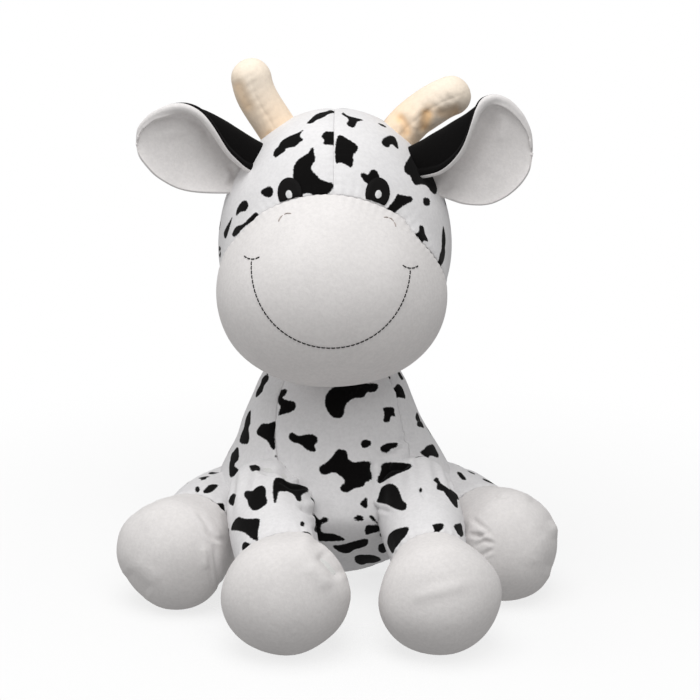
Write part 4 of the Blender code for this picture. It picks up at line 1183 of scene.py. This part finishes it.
def satin_oval(name, centre, half_sizes, lift, rise):
    """An oval filled with level rows of satin stitch, cut off where the snout covers it."""
    rows = int(2 * half_sizes[1] / SATIN_PITCH * SATIN_ROWS_PER_STITCH)
    lines = []
    for share in np.linspace(-SATIN_END_SHARE, SATIN_END_SHARE, rows):
        height = centre[1] + half_sizes[1] * share
        half = half_sizes[0] * sqrt(1 - share * share)
        sides = np.linspace(centre[0] - half, centre[0] + half, SATIN_PROBES)
        places = [on_crown(side, height) for side in sides]
        clear = [place is not None and muzzle_field(place) > SATIN_FROM_SNOUT
                 for place in places]
        if sum(clear) > 2:
            kept = sides[np.array(clear)]
            lines.append((height, kept[0], kept[-1]))
    points = np.zeros((len(lines), SATIN_COLUMNS, 3))
    for row, (height, low, high) in enumerate(lines):
        stitch = int((height - centre[1] + 1) / SATIN_PITCH)
        wave = abs(sin(pi * (height - centre[1]) / SATIN_PITCH))
        jitter = np.random.default_rng(stitch).uniform(-1, 1, 2) * SATIN_JITTER
        sides = np.linspace(low + jitter[0], high + jitter[1], SATIN_COLUMNS)
        for column, side in enumerate(sides):
            place = on_crown(side, height)
            place = on_crown(np.clip(side, low, high), height) if place is None else place
            oval_share = sqrt(((side - centre[0]) / half_sizes[0])**2
                              + ((height - centre[1]) / half_sizes[1])**2)
            from_edge = max(0.0, min((1 - oval_share) * half_sizes[0],
                                     float(muzzle_field(place)) - DOME_FROM_SNOUT))
            dome = 1 - (1 - min(from_edge / SATIN_DOME_WIDTH, 1.0)) ** 2
            ridge = SATIN_RIDGE * wave * (RIDGE_AT_EDGE + (1 - RIDGE_AT_EDGE) * dome)
            height_over = lift + rise * dome + ridge
            points[row, column] = place + skin_normals(place, skull_field) * height_over
    return cloth(name, points, HEAD_MIDDLE, thickness=SATIN_THICKNESS)


def on_snout(side, rise):
    """The snout's cloth in front of a place on its face, which leans a little."""
    x = side * cos(SNOUT_LEAN) + rise * sin(SNOUT_LEAN)
    z = -side * sin(SNOUT_LEAN) + rise * cos(SNOUT_LEAN)
    start = Vector(FACE_CENTRE + np.array((x, BEFORE_FACE, z)))
    return np.array(muzzle_tree.ray_cast(start, Vector((0, 1, 0)))[0])


def running_stitch(name, line, stitch_and_gap, material, node):
    """Stitches along a line over the snout. Each is two plies and dips in at its ends."""
    stitch, gap = stitch_and_gap
    line = smooth_line(line, STITCH_LINE_POINTS)
    reach = lengths_along(line)
    count = max(1, round((reach[-1] + gap) / (stitch + gap)))
    pitch = (reach[-1] + gap) / count
    shares = np.linspace(0, 1, STITCH_STEPS)
    turns = np.linspace(0, 2 * pi, STITCH_AROUND, endpoint=False)
    arch = np.sin(pi * shares) ** STITCH_ARCH
    inner = np.clip(shares, STITCH_END_SHARE, 1 - STITCH_END_SHARE)
    wide = np.minimum(1, np.sin(pi * inner) * STITCH_TAPER) ** 0.5
    plies = 1 + PLY_DEPTH * np.cos(2 * turns[None] + shares[:, None] * PLY_TWIST)
    places, faces = [], []
    for number in range(count):
        at = number * pitch + (pitch - gap) * shares
        middle = np.stack([np.interp(at, reach, column) for column in line.T], -1)
        normals = skin_normals(middle, muzzle_field)
        ahead = np.gradient(middle, axis=0)
        ahead /= np.linalg.norm(ahead, axis=1, keepdims=True)
        across = np.cross(ahead, normals)
        lift = THREAD_RADIUS * (STITCH_RISE * arch - STITCH_SINK)
        middle = middle + normals * lift[:, None]
        ring = (across[:, None] * np.cos(turns)[:, None]
                + normals[:, None] * np.sin(turns)[:, None])
        ring = middle[:, None] + ring * ((THREAD_RADIUS * wide)[:, None] * plies)[..., None]
        first = len(places)
        places.extend(ring.reshape(-1, 3).tolist())
        faces += grid_faces(STITCH_STEPS, STITCH_AROUND, True, first)
        faces.append(list(range(first, first + STITCH_AROUND))[::-1])
        faces.append(list(range(len(places) - STITCH_AROUND, len(places))))
    mesh = bpy.data.meshes.new(name)
    mesh.from_pydata(places, [], faces)
    form = bmesh.new()
    form.from_mesh(mesh)
    bmesh.ops.recalc_face_normals(form, faces=form.faces)
    form.to_mesh(mesh)
    form.free()
    for face in mesh.polygons:
        face.use_smooth = len(face.vertices) == 4
    sew_on(add_object(name, mesh), material, node)


for side, sign in (("left", -1), ("right", 1)):
    eye = satin_oval(f"eye_{side}_satin", (sign * EYE_SIDE, EYE_HEIGHT), EYE_HALF_SIZES,
                     EYE_LIFT, EYE_RISE)
    sew_on(eye, black_thread, f"eye_{side}")
    highlight = satin_oval(f"eye_{side}_glint", (sign * EYE_SIDE, EYE_HEIGHT - HIGHLIGHT_DROP),
                           HIGHLIGHT_HALF_SIZES, EYE_LIFT + EYE_RISE + HIGHLIGHT_LIFT,
                           HIGHLIGHT_RISE)
    sew_on(highlight, white_thread, f"eye_{side}_highlight")
    corner, arc = [], []
    for step in (-1, -0.5, 0, 0.5, 1):
        corner.append(on_snout(
            MOUTH_SIDE + sign * MOUTH_RADIUS + CORNER_HALF_LENGTH * step,
            MOUTH_RISE + CORNER_CURVE * step**2 + CORNER_LEAN[side] * step))
        angle = pi / 2 - sign * NOSTRIL_LEAN - step * NOSTRIL_ARC
        arc.append(on_snout(sign * NOSTRIL_SIDE + NOSTRIL_RADIUS * cos(angle),
                            NOSTRIL_RISE + NOSTRIL_RADIUS * (sin(angle) - 1)))
    running_stitch(f"mouth_corner_{side}_stitches", corner, CORNER_STITCH, black_thread,
                   f"mouth_corner_{side}")
    # Nostrils in the greige thread: painted shade in their grooves.
    running_stitch(f"nostril_{side}_stitches", arc, NOSTRIL_STITCH, nostril_shade_thread,
                   f"nostril_{side}")
mouth = [on_snout(MOUTH_SIDE + MOUTH_RADIUS * cos(angle), MOUTH_RISE - MOUTH_RADIUS * sin(angle))
         for angle in np.linspace(MOUTH_END_ANGLE, pi - MOUTH_END_ANGLE, MOUTH_POINTS)]
running_stitch("mouth_stitches", mouth, MOUTH_STITCH, black_thread,
               "mouth_thread")


# ---------------------------------------------------------------------------
# Ears: a white leaf and a black leaf sewn together and turned, thinly padded, so that the
# white rolls round the rim. The root is folded over forwards, which shows the black back.
# ---------------------------------------------------------------------------
EAR_ROOT_SHARES = (0.6127, -0.3837, 0.6458)
EAR_LENGTH = 0.089
EAR_NARROWING = {"left": 0.965, "right": 1.0}
EAR_DROP = {"left": 0.0040, "right": 0.0024}
EAR_BACK = 0.024
EAR_SWEEP = 0.020
EAR_BEHIND = (0.05, 0.1, 0.0)
# At places along an ear, shares of its length: its top, its lower rim and half its depth,
# then how far over the top its upper rim turns, and how far under its lower rim does.
EAR_STATIONS = {
    "left": (
        (-0.13, 0.09, -0.20, 0.085, 195, 80), (-0.03, 0.144, -0.235, 0.095, 194, 76),
        (0.098, 0.231, -0.241, 0.115, 190, 72), (0.199, 0.303, -0.242, 0.130, 177, 68),
        (0.273, 0.357, -0.242, 0.142, 165, 64), (0.385, 0.427, -0.238, 0.158, 138, 60),
        (0.470, 0.468, -0.233, 0.165, 121, 57), (0.560, 0.491, -0.222, 0.162, 110, 55),
        (0.640, 0.494, -0.203, 0.152, 102, 54), (0.727, 0.479, -0.165, 0.134, 95, 54),
        (0.844, 0.436, -0.085, 0.100, 88, 55), (0.922, 0.375, 0.005, 0.070, 84, 60),
        (0.975, 0.305, 0.090, 0.042, 82, 70), (0.998, 0.201, 0.197, 0.004, 80, 80),
    ),
    "right": (
        (-0.13, 0.03, -0.21, 0.085, 198, 80), (-0.03, 0.080, -0.240, 0.095, 198, 76),
        (0.094, 0.154, -0.250, 0.115, 198, 72), (0.189, 0.2156, -0.258, 0.130, 195, 68),
        (0.275, 0.269, -0.277, 0.142, 188, 64), (0.378, 0.340, -0.312, 0.156, 173, 61),
        (0.450, 0.388, -0.333, 0.164, 157, 58), (0.522, 0.444, -0.341, 0.166, 131, 56),
        (0.5615, 0.476, -0.342, 0.166, 116, 56), (0.6156, 0.510, -0.340, 0.163, 102, 55),
        (0.695, 0.532, -0.323, 0.152, 94, 54), (0.790, 0.503, -0.273, 0.130, 88, 55),
        (0.870, 0.436, -0.208, 0.104, 85, 58), (0.933, 0.352, -0.135, 0.076, 83, 63),
        (0.982, 0.238, -0.040, 0.042, 82, 72), (1.004, 0.097, 0.093, 0.004, 80, 80),
    ),
}
EAR_RIM_ROLL = 0.0037
EAR_LOW_ROLL = 0.0021
EAR_THIN = 0.0014
EAR_LOW_ROLL_WIDTH = 0.0150
EAR_TIP_SHARE = 0.86
EAR_WRAP = 0.0026
EAR_FABRIC = 0.0009
EAR_ROWS = 130
EAR_COLUMNS = 110
EAR_SEAM_COLUMNS = 12
EAR_LINE_POINTS, EAR_ACROSS_POINTS, EAR_MIDDLE_COLUMN = 400, 240, 90
EAR_ROWS_TO_ROOT = 1.25
ANGLE_WEIGHT, BEND_WEIGHT = 0.004, 0.03
EAR_TIP_FADE = 0.020
EAR_FOLD_DEPTH, EAR_FOLD_WIDTH, EAR_FOLD_REACH = 0.0016, 0.0034, 0.016
EAR_FOLD_SLANT, EAR_FOLD_PLACE, EAR_FOLD_FULL, EAR_FOLD_SPAN = 70, 0.28, 1.4, 4
ROOT_FOLD_RIM_FADE, FOLD_RIM_FADE = 0.004, 0.006
EAR_FOLDS = {
    "left": (
        (-0.0013, 3.0, ((186, 116), (195, 121), (204, 128), (209, 137))),
        (-0.0008, 3.0, ((148, 123), (163, 118), (184, 117))),
        (0.0010, 6.0, ((160, 135), (185, 132), (205, 150))),
        (-0.0016, 2.6, ((230, 166), (233, 175), (227, 186))),
        (-0.0014, 2.4, ((243, 170), (234, 178), (232, 186))),
    ),
    "right": (
        (-0.0020, 8.0, ((492, 112), (484, 128), (472, 148), (456, 164))),
        (0.0010, 5.0, ((501, 112), (503, 126), (500, 142))),
        (-0.0010, 4.0, ((452, 182), (444, 190), (440, 197))),
        (0.0008, 9.0, ((500, 165), (490, 180), (470, 190))),
    ),
}


def ear_sections(side):
    """For rows along an ear, fine points round its middle surface and their distances."""
    sign = -1 if side == "left" else 1
    root = SKULL_CENTRE + SKULL_HALF_SIZES * EAR_ROOT_SHARES * (sign, 1, 1)
    stations = np.array(EAR_STATIONS[side], float)
    bend = np.arange(len(stations))
    weights = (1, 1, 1, 1, ANGLE_WEIGHT, ANGLE_WEIGHT)
    line = smooth_line(np.column_stack([stations * weights, bend * BEND_WEIGHT]),
                       EAR_LINE_POINTS)
    rows = (EAR_LINE_POINTS - 1) * (1 - (1 - np.linspace(0, 1, EAR_ROWS)) ** EAR_ROWS_TO_ROOT)
    columns = [np.interp(rows, np.arange(EAR_LINE_POINTS), column) for column in line.T]
    along, top, bottom, depth = (column * EAR_LENGTH for column in columns[:4])
    over, under = (np.radians(column / ANGLE_WEIGHT) for column in columns[4:6])
    half = (top - bottom) / (np.sin(np.minimum(over, pi / 2)) + np.sin(under))
    middle = bottom + half * np.sin(under)
    angle = -under[:, None] + (over + under)[:, None] * np.linspace(0, 1, EAR_ACROSS_POINTS)
    back = root[1] + EAR_BACK - EAR_SWEEP * np.clip(along / EAR_LENGTH, 0, 1)
    height = (middle[:, None] + half[:, None] * np.sin(angle)) * EAR_NARROWING[side]
    points = np.stack([
        root[0] + sign * along[:, None] * np.ones(EAR_ACROSS_POINTS),
        back[:, None] - depth[:, None] + depth[:, None] * np.cos(angle),
        root[2] - EAR_DROP[side] + height,
    ], -1)
    normals = face_outward(points, root + EAR_BEHIND * np.array((sign, 1, 1)))
    front = normals * np.sign((normals[:, EAR_MIDDLE_COLUMN, 1] < 0) - 0.5)[:, None, None]
    last = int((along < EAR_TIP_SHARE * EAR_LENGTH).sum())
    front[last:] = front[last]
    return points, front, lengths_along(points, 1), along


def flat_padding(from_rim):
    """Half the thickness of an ear by its lower rim: it thins out slowly."""
    in_roll = np.clip(from_rim / EAR_LOW_ROLL, 0, 1)
    roll = EAR_LOW_ROLL * np.sqrt(1 - (1 - in_roll) ** 2)
    inside = np.clip((from_rim - EAR_LOW_ROLL) / (EAR_LOW_ROLL_WIDTH - EAR_LOW_ROLL), 0, 1)
    return roll + (EAR_THIN - EAR_LOW_ROLL) * eased(inside)


def rolled_padding(from_rim, height):
    """Half its thickness by its upper rim: a round roll with a crease inside it."""
    round_part = height * np.sqrt(np.clip(1 - (1 - from_rim / height) ** 2, 0, 1))
    return np.where(from_rim < height, round_part, np.hypot(round_part, EAR_THIN * np.clip(
        from_rim / height - 1, 0, 1)))


def ear_leaf(side, parts):
    """A leaf from strips across the ear: each has its face and where it starts and ends."""
    points, front, reach, along = ear_sections(side)
    rows = []
    for row in range(EAR_ROWS):
        whole = reach[row, -1]
        edge = min(EAR_WRAP, whole / 2)
        stops = {"low seam": edge, "high seam": whole - edge, "low rim": 0.0, "high rim": whole}
        from_tip = along[-1] - along[row]
        roll = EAR_LOW_ROLL + (EAR_RIM_ROLL - EAR_LOW_ROLL) * np.clip(from_tip / EAR_TIP_FADE, 0, 1)
        near_root = np.exp(-np.maximum(along[row], 0) / EAR_FOLD_REACH)
        strips = []
        for face, start, end, count in parts:
            ease = np.linspace(0, 1, count)
            if count > EAR_SEAM_COLUMNS:
                ease = (1 - np.cos(pi * ease)) / 2
            places = stops[start] + (stops[end] - stops[start]) * ease
            flat, away = (np.stack([np.interp(places, reach[row], grid[row, :, axis])
                                    for axis in range(3)], -1) for grid in (points, front))
            away /= np.maximum(np.linalg.norm(away, axis=-1, keepdims=True), 1e-9)
            low_rim = np.minimum(places, from_tip)
            from_rim = np.minimum(low_rim, whole - places)
            near_high = rolled_padding(whole - places, roll)
            padding = np.where((whole - places < 2 * roll) & (low_rim > 2 * roll), near_high,
                               np.minimum(flat_padding(low_rim), near_high))
            folds = np.sin(places / EAR_FOLD_WIDTH + along[row] * EAR_FOLD_SLANT)
            folds = folds * EAR_FOLD_DEPTH * near_root
            folds = folds * np.clip(from_rim / ROOT_FOLD_RIM_FADE, 0, 1)
            from_fold = abs(places / whole - EAR_FOLD_PLACE) * EAR_FOLD_SPAN
            folds = folds * np.clip(EAR_FOLD_FULL - from_fold, 0, 1)
            soft = fold_heights(flat, away, WHOLE_PHOTO, EAR_FOLDS[side])
            offset = face * padding + folds + soft * np.clip(from_rim / FOLD_RIM_FADE, 0, 1)
            strips.append(flat + away * offset[:, None])
        rows.append(np.vstack([strips[0]] + [strip[1:] for strip in strips[1:]]))
    return np.array(rows)


black_plush = plush("black_plush", BLACK_PILE)
for side in ("left", "right"):
    points, front_normals, _, _ = ear_sections(side)
    core, front = (Vector(grid[EAR_ROWS // 2, EAR_MIDDLE_COLUMN])
                   for grid in (points, front_normals))
    for leaf_name, node, material, slot, towards, parts in (
        ("inner", "front", white_plush, "white_plush", front, (
            (-1, "low seam", "low rim", EAR_SEAM_COLUMNS),
            (1, "low rim", "high rim", EAR_COLUMNS),
            (-1, "high rim", "high seam", EAR_SEAM_COLUMNS))),
        ("outer", "back", black_plush, "black_plush", -front, (
            (-1, "low seam", "high seam", EAR_COLUMNS),)),
    ):
        leaf = cloth(f"ear_{side}_{leaf_name}", ear_leaf(side, parts), thickness=0)
        nearest = min(leaf.data.polygons, key=lambda face: (face.center - core).length)
        if nearest.normal.dot(towards) < 0:
            leaf.data.flip_normals()
        thicken(leaf, EAR_FABRIC)
        wear(leaf, material, f"ear_{side}", f"ear_{side}_{node}")


# ---------------------------------------------------------------------------
# Horns: bent tubes of cream plush, stuffed hard at the tip and slack at the root, sewn
# into the crown beside the ears.
# ---------------------------------------------------------------------------
HORN_RADIUS = 0.0147
HORN_ROUTE_SHARES = {
    "left": ((-0.364, 0.081, 0.677), (-0.526, 0.081, 0.896), (-0.671, 0.070, 1.125),
             (-0.728, 0.058, 1.375)),
    "right": ((0.422, 0.081, 0.661), (0.647, 0.081, 0.896), (0.890, 0.070, 1.052),
              (1.145, 0.058, 1.141)),
}
HORN_ROWS = 150
HORN_COLUMNS = 130
HORN_LUMP_SIZE, HORN_LUMP_DEPTH = 0.034, 0.0002
HORN_SEAM_SHARE = 0.5
HORN_FILLING_DEPTH = 0.0062
# Painted shade on the horns, a darker orange: the fold depth at which it is full, how much of it
# the root gets where it meets the crown, where along the horn that ends and how softly, and how
# much wider it spreads than a fold.
HORN_FOLD_FULL_SHADE = 0.0018
HORN_ROOT_SHADE, ROOT_SHADE_END, ROOT_SHADE_FADE = 0.42, 0.75, 0.5
HORN_SHADE_SPREAD = 1.7
HORN_FOLDS = (
    (-0.0009, 4.5, ((128, 235), (150, 300), (180, 370), (215, 440))),
    (-0.0009, 4.5, ((300, 560), (350, 590), (400, 585))),
    (-0.0020, 3.6, ((1085, 455), (1130, 488), (1148, 535), (1150, 590))),
    (-0.0022, 4.2, ((1285, 415), (1262, 465), (1252, 520), (1272, 548))),
    (-0.0012, 4.5, ((1320, 450), (1400, 435), (1480, 425))),
    (0.0012, 6.0, ((1180, 430), (1215, 480), (1215, 540))),
    (0.0014, 8.0, ((1370, 300), (1440, 320), (1490, 350))),
)


def tube_points(line, radii, columns):
    """Points round a line without twist, and their directions from it."""
    along = np.gradient(line, axis=0)
    along /= np.linalg.norm(along, axis=-1, keepdims=True)
    across = (0.0, 1.0, 0.0) if abs(along[0][1]) < 0.99 else (0.0, 0.0, 1.0)
    sides = [np.cross(along[0], across)]
    sides[0] /= np.linalg.norm(sides[0])
    for direction in along[1:]:
        side = sides[-1] - direction * (sides[-1] @ direction)
        sides.append(side / np.linalg.norm(side))
    sides = np.array(sides)
    turns = np.linspace(0, 2 * pi, columns, endpoint=False)[:, None]
    ring = sides[:, None] * np.cos(turns) + np.cross(along, sides)[:, None] * np.sin(turns)
    return line[:, None] + ring * radii[:, None, None], ring


def tube_seam(points, seam_turn, radius):
    """How deep a seam along a tube draws its cloth in."""
    turns = np.linspace(0, 2 * pi, points.shape[1], endpoint=False)
    distance = np.abs((turns - seam_turn + pi) % (2 * pi) - pi) * radius
    return seam_crease(distance * np.ones((len(points), 1)), lengths_along(points))


# The cream goes towards orange in the hollow folds and near the root: painted shade.
cream_plush = plush("cream_plush", (0.97, 0.85, 0.71), fold_shade_colour=(0.95, 0.64, 0.36))
horn_shade_hollows = [(height, width * HORN_SHADE_SPREAD, path)
                for height, width, path in HORN_FOLDS if height < 0]
for side, shares in HORN_ROUTE_SHARES.items():
    line = smooth_line(SKULL_CENTRE + np.array(shares) * SKULL_HALF_SIZES, HORN_ROWS)
    length = np.linalg.norm(np.diff(line, axis=0), axis=-1).sum()
    left_over = length * (1 - np.linspace(0, 1, HORN_ROWS))
    closing = np.clip(left_over / HORN_RADIUS, 0, 1)
    radii = HORN_RADIUS * np.sqrt(np.maximum(1 - (1 - closing) ** 2, 0))
    points, ring = tube_points(line, radii, HORN_COLUMNS)
    raised = fold_heights(points, ring, HORN_CROP, HORN_FOLDS)
    raised += waves(points, HORN_LUMP_SIZE, seed=51) * HORN_LUMP_DEPTH
    raised -= tube_seam(points, pi / 2, HORN_RADIUS) * HORN_SEAM_SHARE
    points = points + ring * (raised * closing[:, None])[..., None]
    piece = cloth(f"horn_{side}_cloth", points, line[HORN_ROWS // 2], closed=True, thickness=0)
    places = vertex_values(piece.data, "co")
    nearest = np.linalg.norm(places[:, None] - line, axis=-1).argmin(1)
    away = places - line[nearest]
    away /= np.maximum(np.linalg.norm(away, axis=1, keepdims=True), 1e-6)
    # How much painted shade each point gets, from the hollow folds and from nearness to the root,
    # kept for the material.
    fold = -fold_heights(places, away, HORN_CROP, horn_shade_hollows) / HORN_FOLD_FULL_SHADE
    root_shade = np.clip((ROOT_SHADE_END - nearest / HORN_ROWS) / ROOT_SHADE_FADE, 0, 1)
    kept = 1 - (1 - np.clip(fold, 0, 1)) * (1 - root_shade * HORN_ROOT_SHADE)
    keep_values(piece.data, "painted_shade", kept)
    wear(piece, cream_plush, "head", f"horn_{side}_cover")
    inner, _ = tube_points(line[::3], np.maximum(radii[::3] - HORN_FILLING_DEPTH, 0.0),
                           FILLING_COLUMNS["horn"])
    fill = cloth(f"horn_{side}_fibre", inner, line[HORN_ROWS // 2], closed=True, thickness=0)
    wear(fill, filling_fibre, "head", f"horn_{side}_filling")


# ---------------------------------------------------------------------------
# Tail: a slim rolled tube of the printed plush, sewn to the back and lying on the floor,
# with a tuft of black plush locks sewn into its open end.
# ---------------------------------------------------------------------------
TAIL_ROOT = np.array(JOINT_PLACES["tail"])
TAIL_RADIUS = 0.0062
TAIL_OUTWARD = np.array((0.0, 0.904, -0.427))
TAIL_END = np.array((0.0, 0.1405, 0.0100))
TAIL_INTO_TUFT = np.array((0, 0.0006, 0))
TAIL_LEVEL_SHARE = 0.12
TAIL_BEND_SHARES = (0.4, 0.75)
TAIL_ROWS, TAIL_COLUMNS = 150, 72
TAIL_NARROWING, TAIL_NARROWING_REACH = 0.20, 0.0035
TAIL_SEAM_SHARE = 0.35
TAIL_LUMP_SIZE, TAIL_LUMP_DEPTH = 0.018, 0.0004
TAIL_GATHER_DEPTH, TAIL_GATHERS, TAIL_GATHER_REACH = 0.0003, 11, 0.006
TAIL_SPACE, TAIL_PATCHES = 0.003, 400
TUFT_LENGTH = 0.030
TUFT_RADIUS = 0.0096
TUFT_ROWS, TUFT_COLUMNS = 120, 140
TUFT_OUTLINE = ((0.0, 0.50), (0.10, 0.66), (0.30, 0.92), (0.50, 1.0), (0.72, 0.90),
                (0.88, 0.62), (0.97, 0.30), (1.0, 0.0))
TUFT_LOCKS = 7
TUFT_LOCK_DEPTH = 0.20
TUFT_TWIST = 1.6
LOCK_ROUNDNESS, LOCKS_FROM, STRANDS_FROM = 0.6, 3, 4
STRAND_DEPTH, STRANDS, STRAND_TWIST, STRANDS_UNEVEN, STRAND_GROUPS = 0.035, 43, 9, 2, 5
TUFT_SWAY, TUFT_SWAYS = 0.0016, 5
TUFT_START, TUFT_LINE_POINTS = 0.0002, 400

reach = TAIL_END - TAIL_ROOT
tail_bend = TAIL_ROOT + reach * (0, *TAIL_BEND_SHARES)
landing = TAIL_END - reach * (0, TAIL_LEVEL_SHARE, 0)
line = smooth_line([TAIL_ROOT - TAIL_OUTWARD * TAIL_RADIUS, TAIL_ROOT, tail_bend, landing,
                    TAIL_END + TAIL_INTO_TUFT], TAIL_ROWS)
length = np.linalg.norm(np.diff(line, axis=0), axis=1).sum()
from_root = np.linspace(0, 1, TAIL_ROWS) * length
from_end = from_root[-1] - from_root
rounding = (1 - from_root / TAIL_RADIUS).clip(0, 1)
radii = TAIL_RADIUS * np.sqrt(np.clip(1 - rounding**2, 0, 1))
radii = radii * (1 - TAIL_NARROWING * np.exp(-(from_end / TAIL_NARROWING_REACH) ** 2))
points, ring = tube_points(line, radii, TAIL_COLUMNS)
turns = np.linspace(0, 2 * pi, TAIL_COLUMNS, endpoint=False)
raised = waves(points, TAIL_LUMP_SIZE, seed=71) * TAIL_LUMP_DEPTH
raised -= tube_seam(points, pi, TAIL_RADIUS) * TAIL_SEAM_SHARE
raised -= TAIL_GATHER_DEPTH * np.sin(turns * TAIL_GATHERS) * np.exp(
    -(from_end / TAIL_GATHER_REACH))[:, None]
raised *= np.clip(from_root / TAIL_GATHER_REACH, 0, 1)[:, None]
tail_piece = cloth("tail_cloth", rest_on_floor(points + ring * raised[..., None]),
                   line[TAIL_ROWS // 2], closed=True, thickness=0)
print_cloth([tail_piece], (), seed=41, space=TAIL_SPACE, count=TAIL_PATCHES)
wear(tail_piece, print_plush, "tail", "tail")

line = TAIL_END + np.linspace(TUFT_START, TUFT_LENGTH, TUFT_ROWS)[:, None] * (0, 1, 0)
shape = smooth_line(TUFT_OUTLINE, TUFT_LINE_POINTS)
shares = np.linspace(0, 1, TUFT_ROWS)
radii = TUFT_RADIUS * np.interp(shares, shape[:, 0], shape[:, 1]).clip(0, None)
points, ring = tube_points(line, radii, TUFT_COLUMNS)
turns = np.linspace(0, 2 * pi, TUFT_COLUMNS, endpoint=False)[None]
along = shares[:, None]
locks = np.abs(np.sin((turns + TUFT_TWIST * along) * TUFT_LOCKS / 2))
strands = STRAND_DEPTH * np.sin(turns * STRANDS + STRAND_TWIST * along
                                + STRANDS_UNEVEN * np.sin(turns * STRAND_GROUPS))
grown = (TUFT_LOCK_DEPTH * (locks**LOCK_ROUNDNESS - 1) * np.clip(along * LOCKS_FROM, 0, 1)
         + strands * np.clip(along * STRANDS_FROM, 0, 1))
points = points + ring * (radii[:, None] * grown)[..., None]
points[..., 0] += TUFT_SWAY * np.sin(along * TUFT_SWAYS) * along
tuft_piece = cloth("tail_tuft_locks", rest_on_floor(points), line[TUFT_ROWS // 2], closed=True,
                   thickness=0)
wear(tuft_piece, black_plush, "tail", "tail_tuft")


# ---------------------------------------------------------------------------
# Stage: a white floor and plain soft studio light.
# ---------------------------------------------------------------------------
FLOOR_RADIUS = 1.1
FLOOR_FADE = (0.12, 0.60)
FLOOR_BOUNCE = 0.22
FLOOR_CLEARNESS = 0.74
WHITE = (1.0, 1.0, 1.0, 1.0)
ROOM_LIGHT = 0.40

for name, place, aim, size, power in (
    ("top_light", (-0.20, -0.55, 1.7), (0, -0.05, 0.2), 1.3, 13.0),
    ("front_light", (0.35, -1.5, 1.85), (0, 0, 0.2), 1.5, 12.0),
    ("left_light", (-1.7, -0.6, 1.0), (0, 0, 0.2), 1.2, 4.0),
):
    lamp = bpy.data.lights.new(name, "AREA")
    lamp.shape = "DISK"
    lamp.size = size
    lamp.energy = power
    item = add_object(name, lamp)
    item.location = place
    item.rotation_euler = (Vector(place) - Vector(aim)).to_track_quat("Z", "Y").to_euler()

world = bpy.data.worlds.new("studio")
bpy.context.scene.world = world
sky = Paint(world)
sky.set("Background", {"Color": WHITE, "Strength": ROOM_LIGHT})
camera_ray, glossy_ray, transmission_ray = (
    sky.add("LightPath", f"Is {ray} Ray") for ray in ("Camera", "Glossy", "Transmission"))
seen = sky.combine("MAXIMUM", sky.combine("MAXIMUM", camera_ray, glossy_ray), transmission_ray)
room = sky.tree.nodes["Background"].outputs["Background"]
white = sky.add("Background", "Background", {"Color": WHITE, "Strength": 1.0})
sky.set("World Output", {"Surface": sky.blend_shaders(seen, room, white)})

floor_mesh = bpy.data.meshes.new("floor")
floor_form = bmesh.new()
bmesh.ops.create_circle(floor_form, cap_ends=True, segments=96, radius=FLOOR_RADIUS)
floor_form.to_mesh(floor_mesh)
floor_form.free()
floor = add_object("floor", floor_mesh)
floor_paint = bpy.data.materials.new("floor_paint")
paint = Paint(floor_paint)
tone = paint.blend(paint.add("LightPath", "Is Camera Ray"), (FLOOR_BOUNCE,) * 3, (0.95,) * 3)
paint.set("Principled BSDF", {"Base Color": tone, "Roughness": 0.9, "Specular IOR Level": 0.0})
from_middle = paint.add("VectorMath", "Value", {0: paint.add("TexCoord", "Object")},
                        operation="LENGTH")
fade = paint.spread(from_middle, *FLOOR_FADE, FLOOR_CLEARNESS)
shaded = paint.tree.nodes["Principled BSDF"].outputs["BSDF"]
clear = paint.add("BsdfTransparent", "BSDF")
paint.set("Material Output", {"Surface": paint.blend_shaders(fade, shaded, clear)})
floor_mesh.materials.append(floor_paint)

bpy.context.scene.view_settings.view_transform = "Standard"
